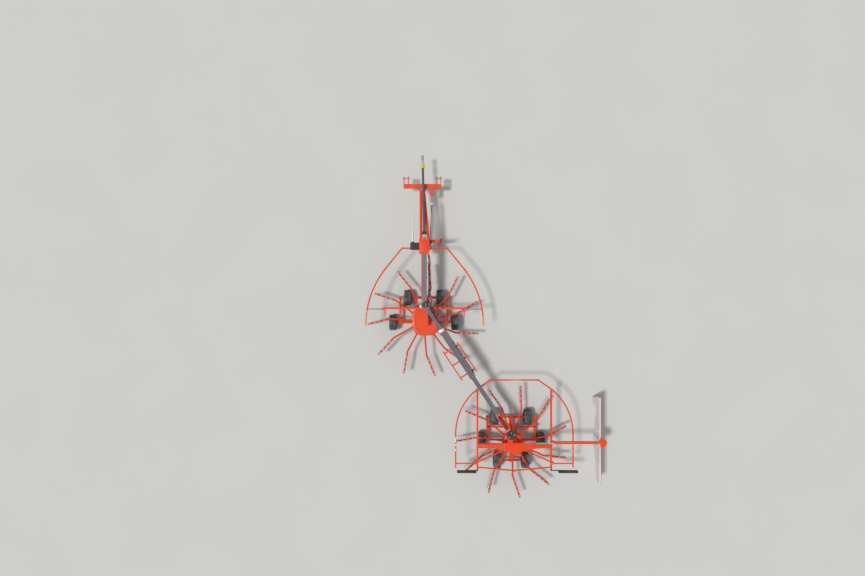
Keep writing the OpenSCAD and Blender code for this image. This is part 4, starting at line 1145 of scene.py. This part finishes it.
# Hitch
def fit_link_pins():
    """Loose pin with its pull ring through the drilled ears of each fork."""
    profile = [(0.020, -0.098), (0.024, -0.095), (0.024, -0.0765), (0.0183, -0.0755), (0.0183, 0.0755),
               (0.0183, 0.0765), (0.024, 0.0766), (0.024, 0.084), (0.020, 0.088), (0.0180, 0.089),
               (0.0180, 0.098)]
    for side, word in ((-1, "left"), (1, "right")):
        x, y = HITCH_X + side * LINK_SPREAD, LINK_Y
        pin = turned("pin", profile, ZINC, 28, facing((1, 0, 0), at_front(x, y, LINK_Z)))
        loop = [at_front(x + 0.090, y + 0.030 * math.cos(a), LINK_Z + 0.030 * math.sin(a))
                for a in [math.radians(20 * i) for i in range(19)]]
        ring = tube_on("ring", loop, 0.003, ROD_STEEL, 1)
        fitted(joined(f"link_pin_{word}", [ring, pin]), "headstock", "zinc_steel")


def fit_headstock():
    """Head of the hitch pivot's bolt, and the bolts through the headstock's plates."""
    head = turned("hitch_pivot_head", [(0.034, 0.7905), (0.038, 0.793), (0.038, 0.806), (0.034, 0.810),
                                       (0.018, 0.810), (0.018, 0.822), (0.014, 0.826)], ZINC, 32,
                  Matrix.Translation(at_front(HITCH_X, HITCH_Y, 0)))
    fitted(head, "headstock", "zinc_steel")
    places = [FRONT_PLAN @ spot for spot in grid_of((-0.360, -0.280, 0.200, 0.280), (3.970, 4.040), 0.7105)]
    fitted(bolts("headstock_bolts", places, 0.022, 0.013), "headstock", "zinc_steel")


def fit_bracket_lid():
    """Pressed and bolted lid on the bracket at the main beam's front end."""
    outline = [(-0.110, 2.020), (0.150, 2.020), (0.150, 2.240), (0.095, 2.390), (-0.055, 2.390),
               (-0.110, 2.240)]
    lid = editing(plate("lid", outline, 1.1905, 1.1990))
    pick(lid, lambda f: f.normal.z > 0.9)
    stepped_in(0.022, 0.006)
    softened(coloured(closed_up(lid), ORANGE), 0.003)
    spots = ((-0.094, 2.036), (0.134, 2.036), (-0.094, 2.225), (0.134, 2.225), (-0.045, 2.375),
             (0.085, 2.375))
    heads = bolts("lid_bolts", [Matrix.Translation((x, y, 1.1985)) for x, y in spots], 0.018, 0.010)
    fitted(joined("bracket_lid", [heads, lid], FRONT_PLAN), "frame", "orange_paint")


def fit_jack():
    """Cap, crank with its grip, and foot plate of the parking jack."""
    cap = box("cap", (0.472, 2.328, 1.044), (0.546, 2.402, 1.062), BLACK_PLASTIC, 0.006, 3)
    bend = smooth_path([(0.509, 2.365, 1.058), (0.509, 2.365, 1.098), (0.520, 2.365, 1.108),
                        (0.620, 2.365, 1.108)], 4)
    crank = tube_on("crank", bend, 0.008, ZINC)
    grip = turned("grip", [(0.010, 0), (0.015, 0.006), (0.016, 0.040), (0.014, 0.080), (0.009, 0.084)],
                  BLACK_PLASTIC, 20, Matrix.Translation((0.612, 2.365, 1.100)))
    foot = turned("foot", [(0.094, 0.0125), (0.092, 0.020), (0.050, 0.026), (0.046, 0.040)], ZINC, 4,
                  Matrix.Translation((0.509, 2.365, 0)) @ Matrix.Rotation(math.pi / 4, 4, "Z"))
    fitted(joined("jack_crank", [cap, crank, grip, foot], FRONT_PLAN), "jack", "zinc_steel")


def fit_hinges():
    """Bolt and nut on each fold hinge, named for the body that carries its pin."""
    groups = {"frame": [], "rear_unit": []}
    for side in (1, -1):
        front_x = FRONT_MIDDLE + side * FRONT_HINGE_X
        hinges = [("frame", at_front(front_x, y, HINGE_Z)) for y in FRONT_HINGES_Y]
        hinges += [("rear_unit", at_rear(side * REAR_HINGE_X, y, HINGE_Z)) for y in REAR_HINGES_Y]
        for body, pin in hinges:
            groups[body] += [facing((0, 1, 0), pin + Vector((0, 0.0402, 0))),
                             facing((0, -1, 0), pin - Vector((0, 0.0462, 0)))]
    groups["rear_unit"] += [facing((0, s, 0), at_rear(REAR_HINGE_X, 0.100 + s * 0.0525, HINGE_Z))
                            for s in (1, -1)]
    for body, places in groups.items():
        fitted(bolts(f"{body}_hinge_bolts", places, 0.022, 0.010), body, "zinc_steel")


# Stage
def set_floor():
    """Plain pale floor just below the wheels."""
    clear_selection()
    bpy.ops.mesh.primitive_plane_add(size=400, location=(0, 0, -0.002))
    floor = started("floor")
    material, tree, shader = new_material("pale_floor", 0.9, specular=0.2)
    cloudy = use_group(tree, FADE, Colour=(0.650, 0.660, 0.640, 1), Faded=(0.640, 0.650, 0.632, 1), Scale=0.4)
    tree.links.new(cloudy.outputs["Colour"], shader.inputs["Base Color"])
    coloured(floor, material)


def set_light():
    """Soft sun and a pale sky, which the camera, glass and gloss see at full strength."""
    world = bpy.data.worlds.new("sky")
    bpy.context.scene.world = world
    world.use_nodes = True
    tree = world.node_tree
    light = tree.nodes["Background"]
    light.inputs["Color"].default_value = (0.95, 0.97, 1.0, 1)
    light.inputs["Strength"].default_value = SKY_STRENGTH
    shown = add(tree, "ShaderNodeBackground", values={"Color": (0.80, 0.81, 0.80, 1), "Strength": 1.0})
    rays = add(tree, "ShaderNodeLightPath").outputs
    glass = add(tree, "ShaderNodeMath", {0: rays["Is Camera Ray"], 1: rays["Is Transmission Ray"]},
                operation="MAXIMUM")
    seen = add(tree, "ShaderNodeMath", {0: glass.outputs[0], 1: rays["Is Glossy Ray"]}, operation="MAXIMUM")
    mixer = add(tree, "ShaderNodeMixShader", {0: seen.outputs[0], 1: light.outputs[0], 2: shown.outputs[0]})
    tree.links.new(mixer.outputs[0], tree.nodes["World Output"].inputs["Surface"])
    lamp = bpy.data.lights.new("soft_sun", "SUN")
    lamp.energy = SUN_STRENGTH
    lamp.angle = SUN_ANGLE
    lamp.color = (1.0, 0.975, 0.94)
    sun = bpy.data.objects.new("soft_sun", lamp)
    sun.rotation_euler = Vector(SUN_AIM).to_track_quat("-Z", "Y").to_euler()
    bpy.context.scene.collection.objects.link(sun)


def set_camera():
    """Camera straight above, at the picture's own angle of view."""
    camera = bpy.data.cameras.new("camera")
    camera.sensor_width = SENSOR
    camera.lens = FOCAL_PIXELS / PICTURE_WIDE * SENSOR
    camera.clip_end = 200
    view = bpy.data.objects.new("camera", camera)
    view.location = CAMERA_AT
    bpy.context.scene.collection.objects.link(view)
    bpy.context.scene.camera = view
    bpy.context.scene.view_settings.view_transform = "Standard"


# Finishes of the CAD nodes; wheels are rubber and all others orange
FINISHES = {
    "main_beam": BEAM_GREY, "swing_beam": DARK_BEAM, "inner_beam": DARK_BEAM, "pto_shaft": SHAFT_GUARD,
    "steering_rod": ZINC, "marker_rod": WHITE, "jack_leg": ZINC, "fold_cylinder": ZINC, "fold_rod": ROD_STEEL,
    "lamp_boards": BLACK_PLASTIC, "front_rotor": DEEP_ORANGE, "rear_rotor": DEEP_ORANGE,
    "front_tines": TINE_STEEL, "rear_tines": TINE_STEEL, "curtain": CANVAS,
}

set_camera()
set_floor()
set_light()
for name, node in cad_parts.items():
    coloured(node, RUBBER if "wheel" in name else FINISHES.get(name, ORANGE))
fit_wheels()
fit_tines()
fit_drive_shaft()
fit_marker()
fit_steering()
fit_column("front", FRONT_AXIS, "frame", FRONT_COVER, 0.672)
fit_column("rear", REAR_AXIS, "rear_unit", REAR_COVER, 0.676)
fit_hubs()
fit_beam_pipe()
fit_hose_rings()
fit_frame_hoses()
fit_front_pivot()
fit_beam_trim()
fit_swing_hoses()
fit_neck_saddle()
fit_inner_beam()
fit_rear_pivot()
fit_gusset()
fit_wheel_carriers()
fit_guard_trim()
fit_lamps()
fit_link_pins()
fit_headstock()
fit_bracket_lid()
fit_jack()
fit_hinges()
fit_curtain()

clear_selection()
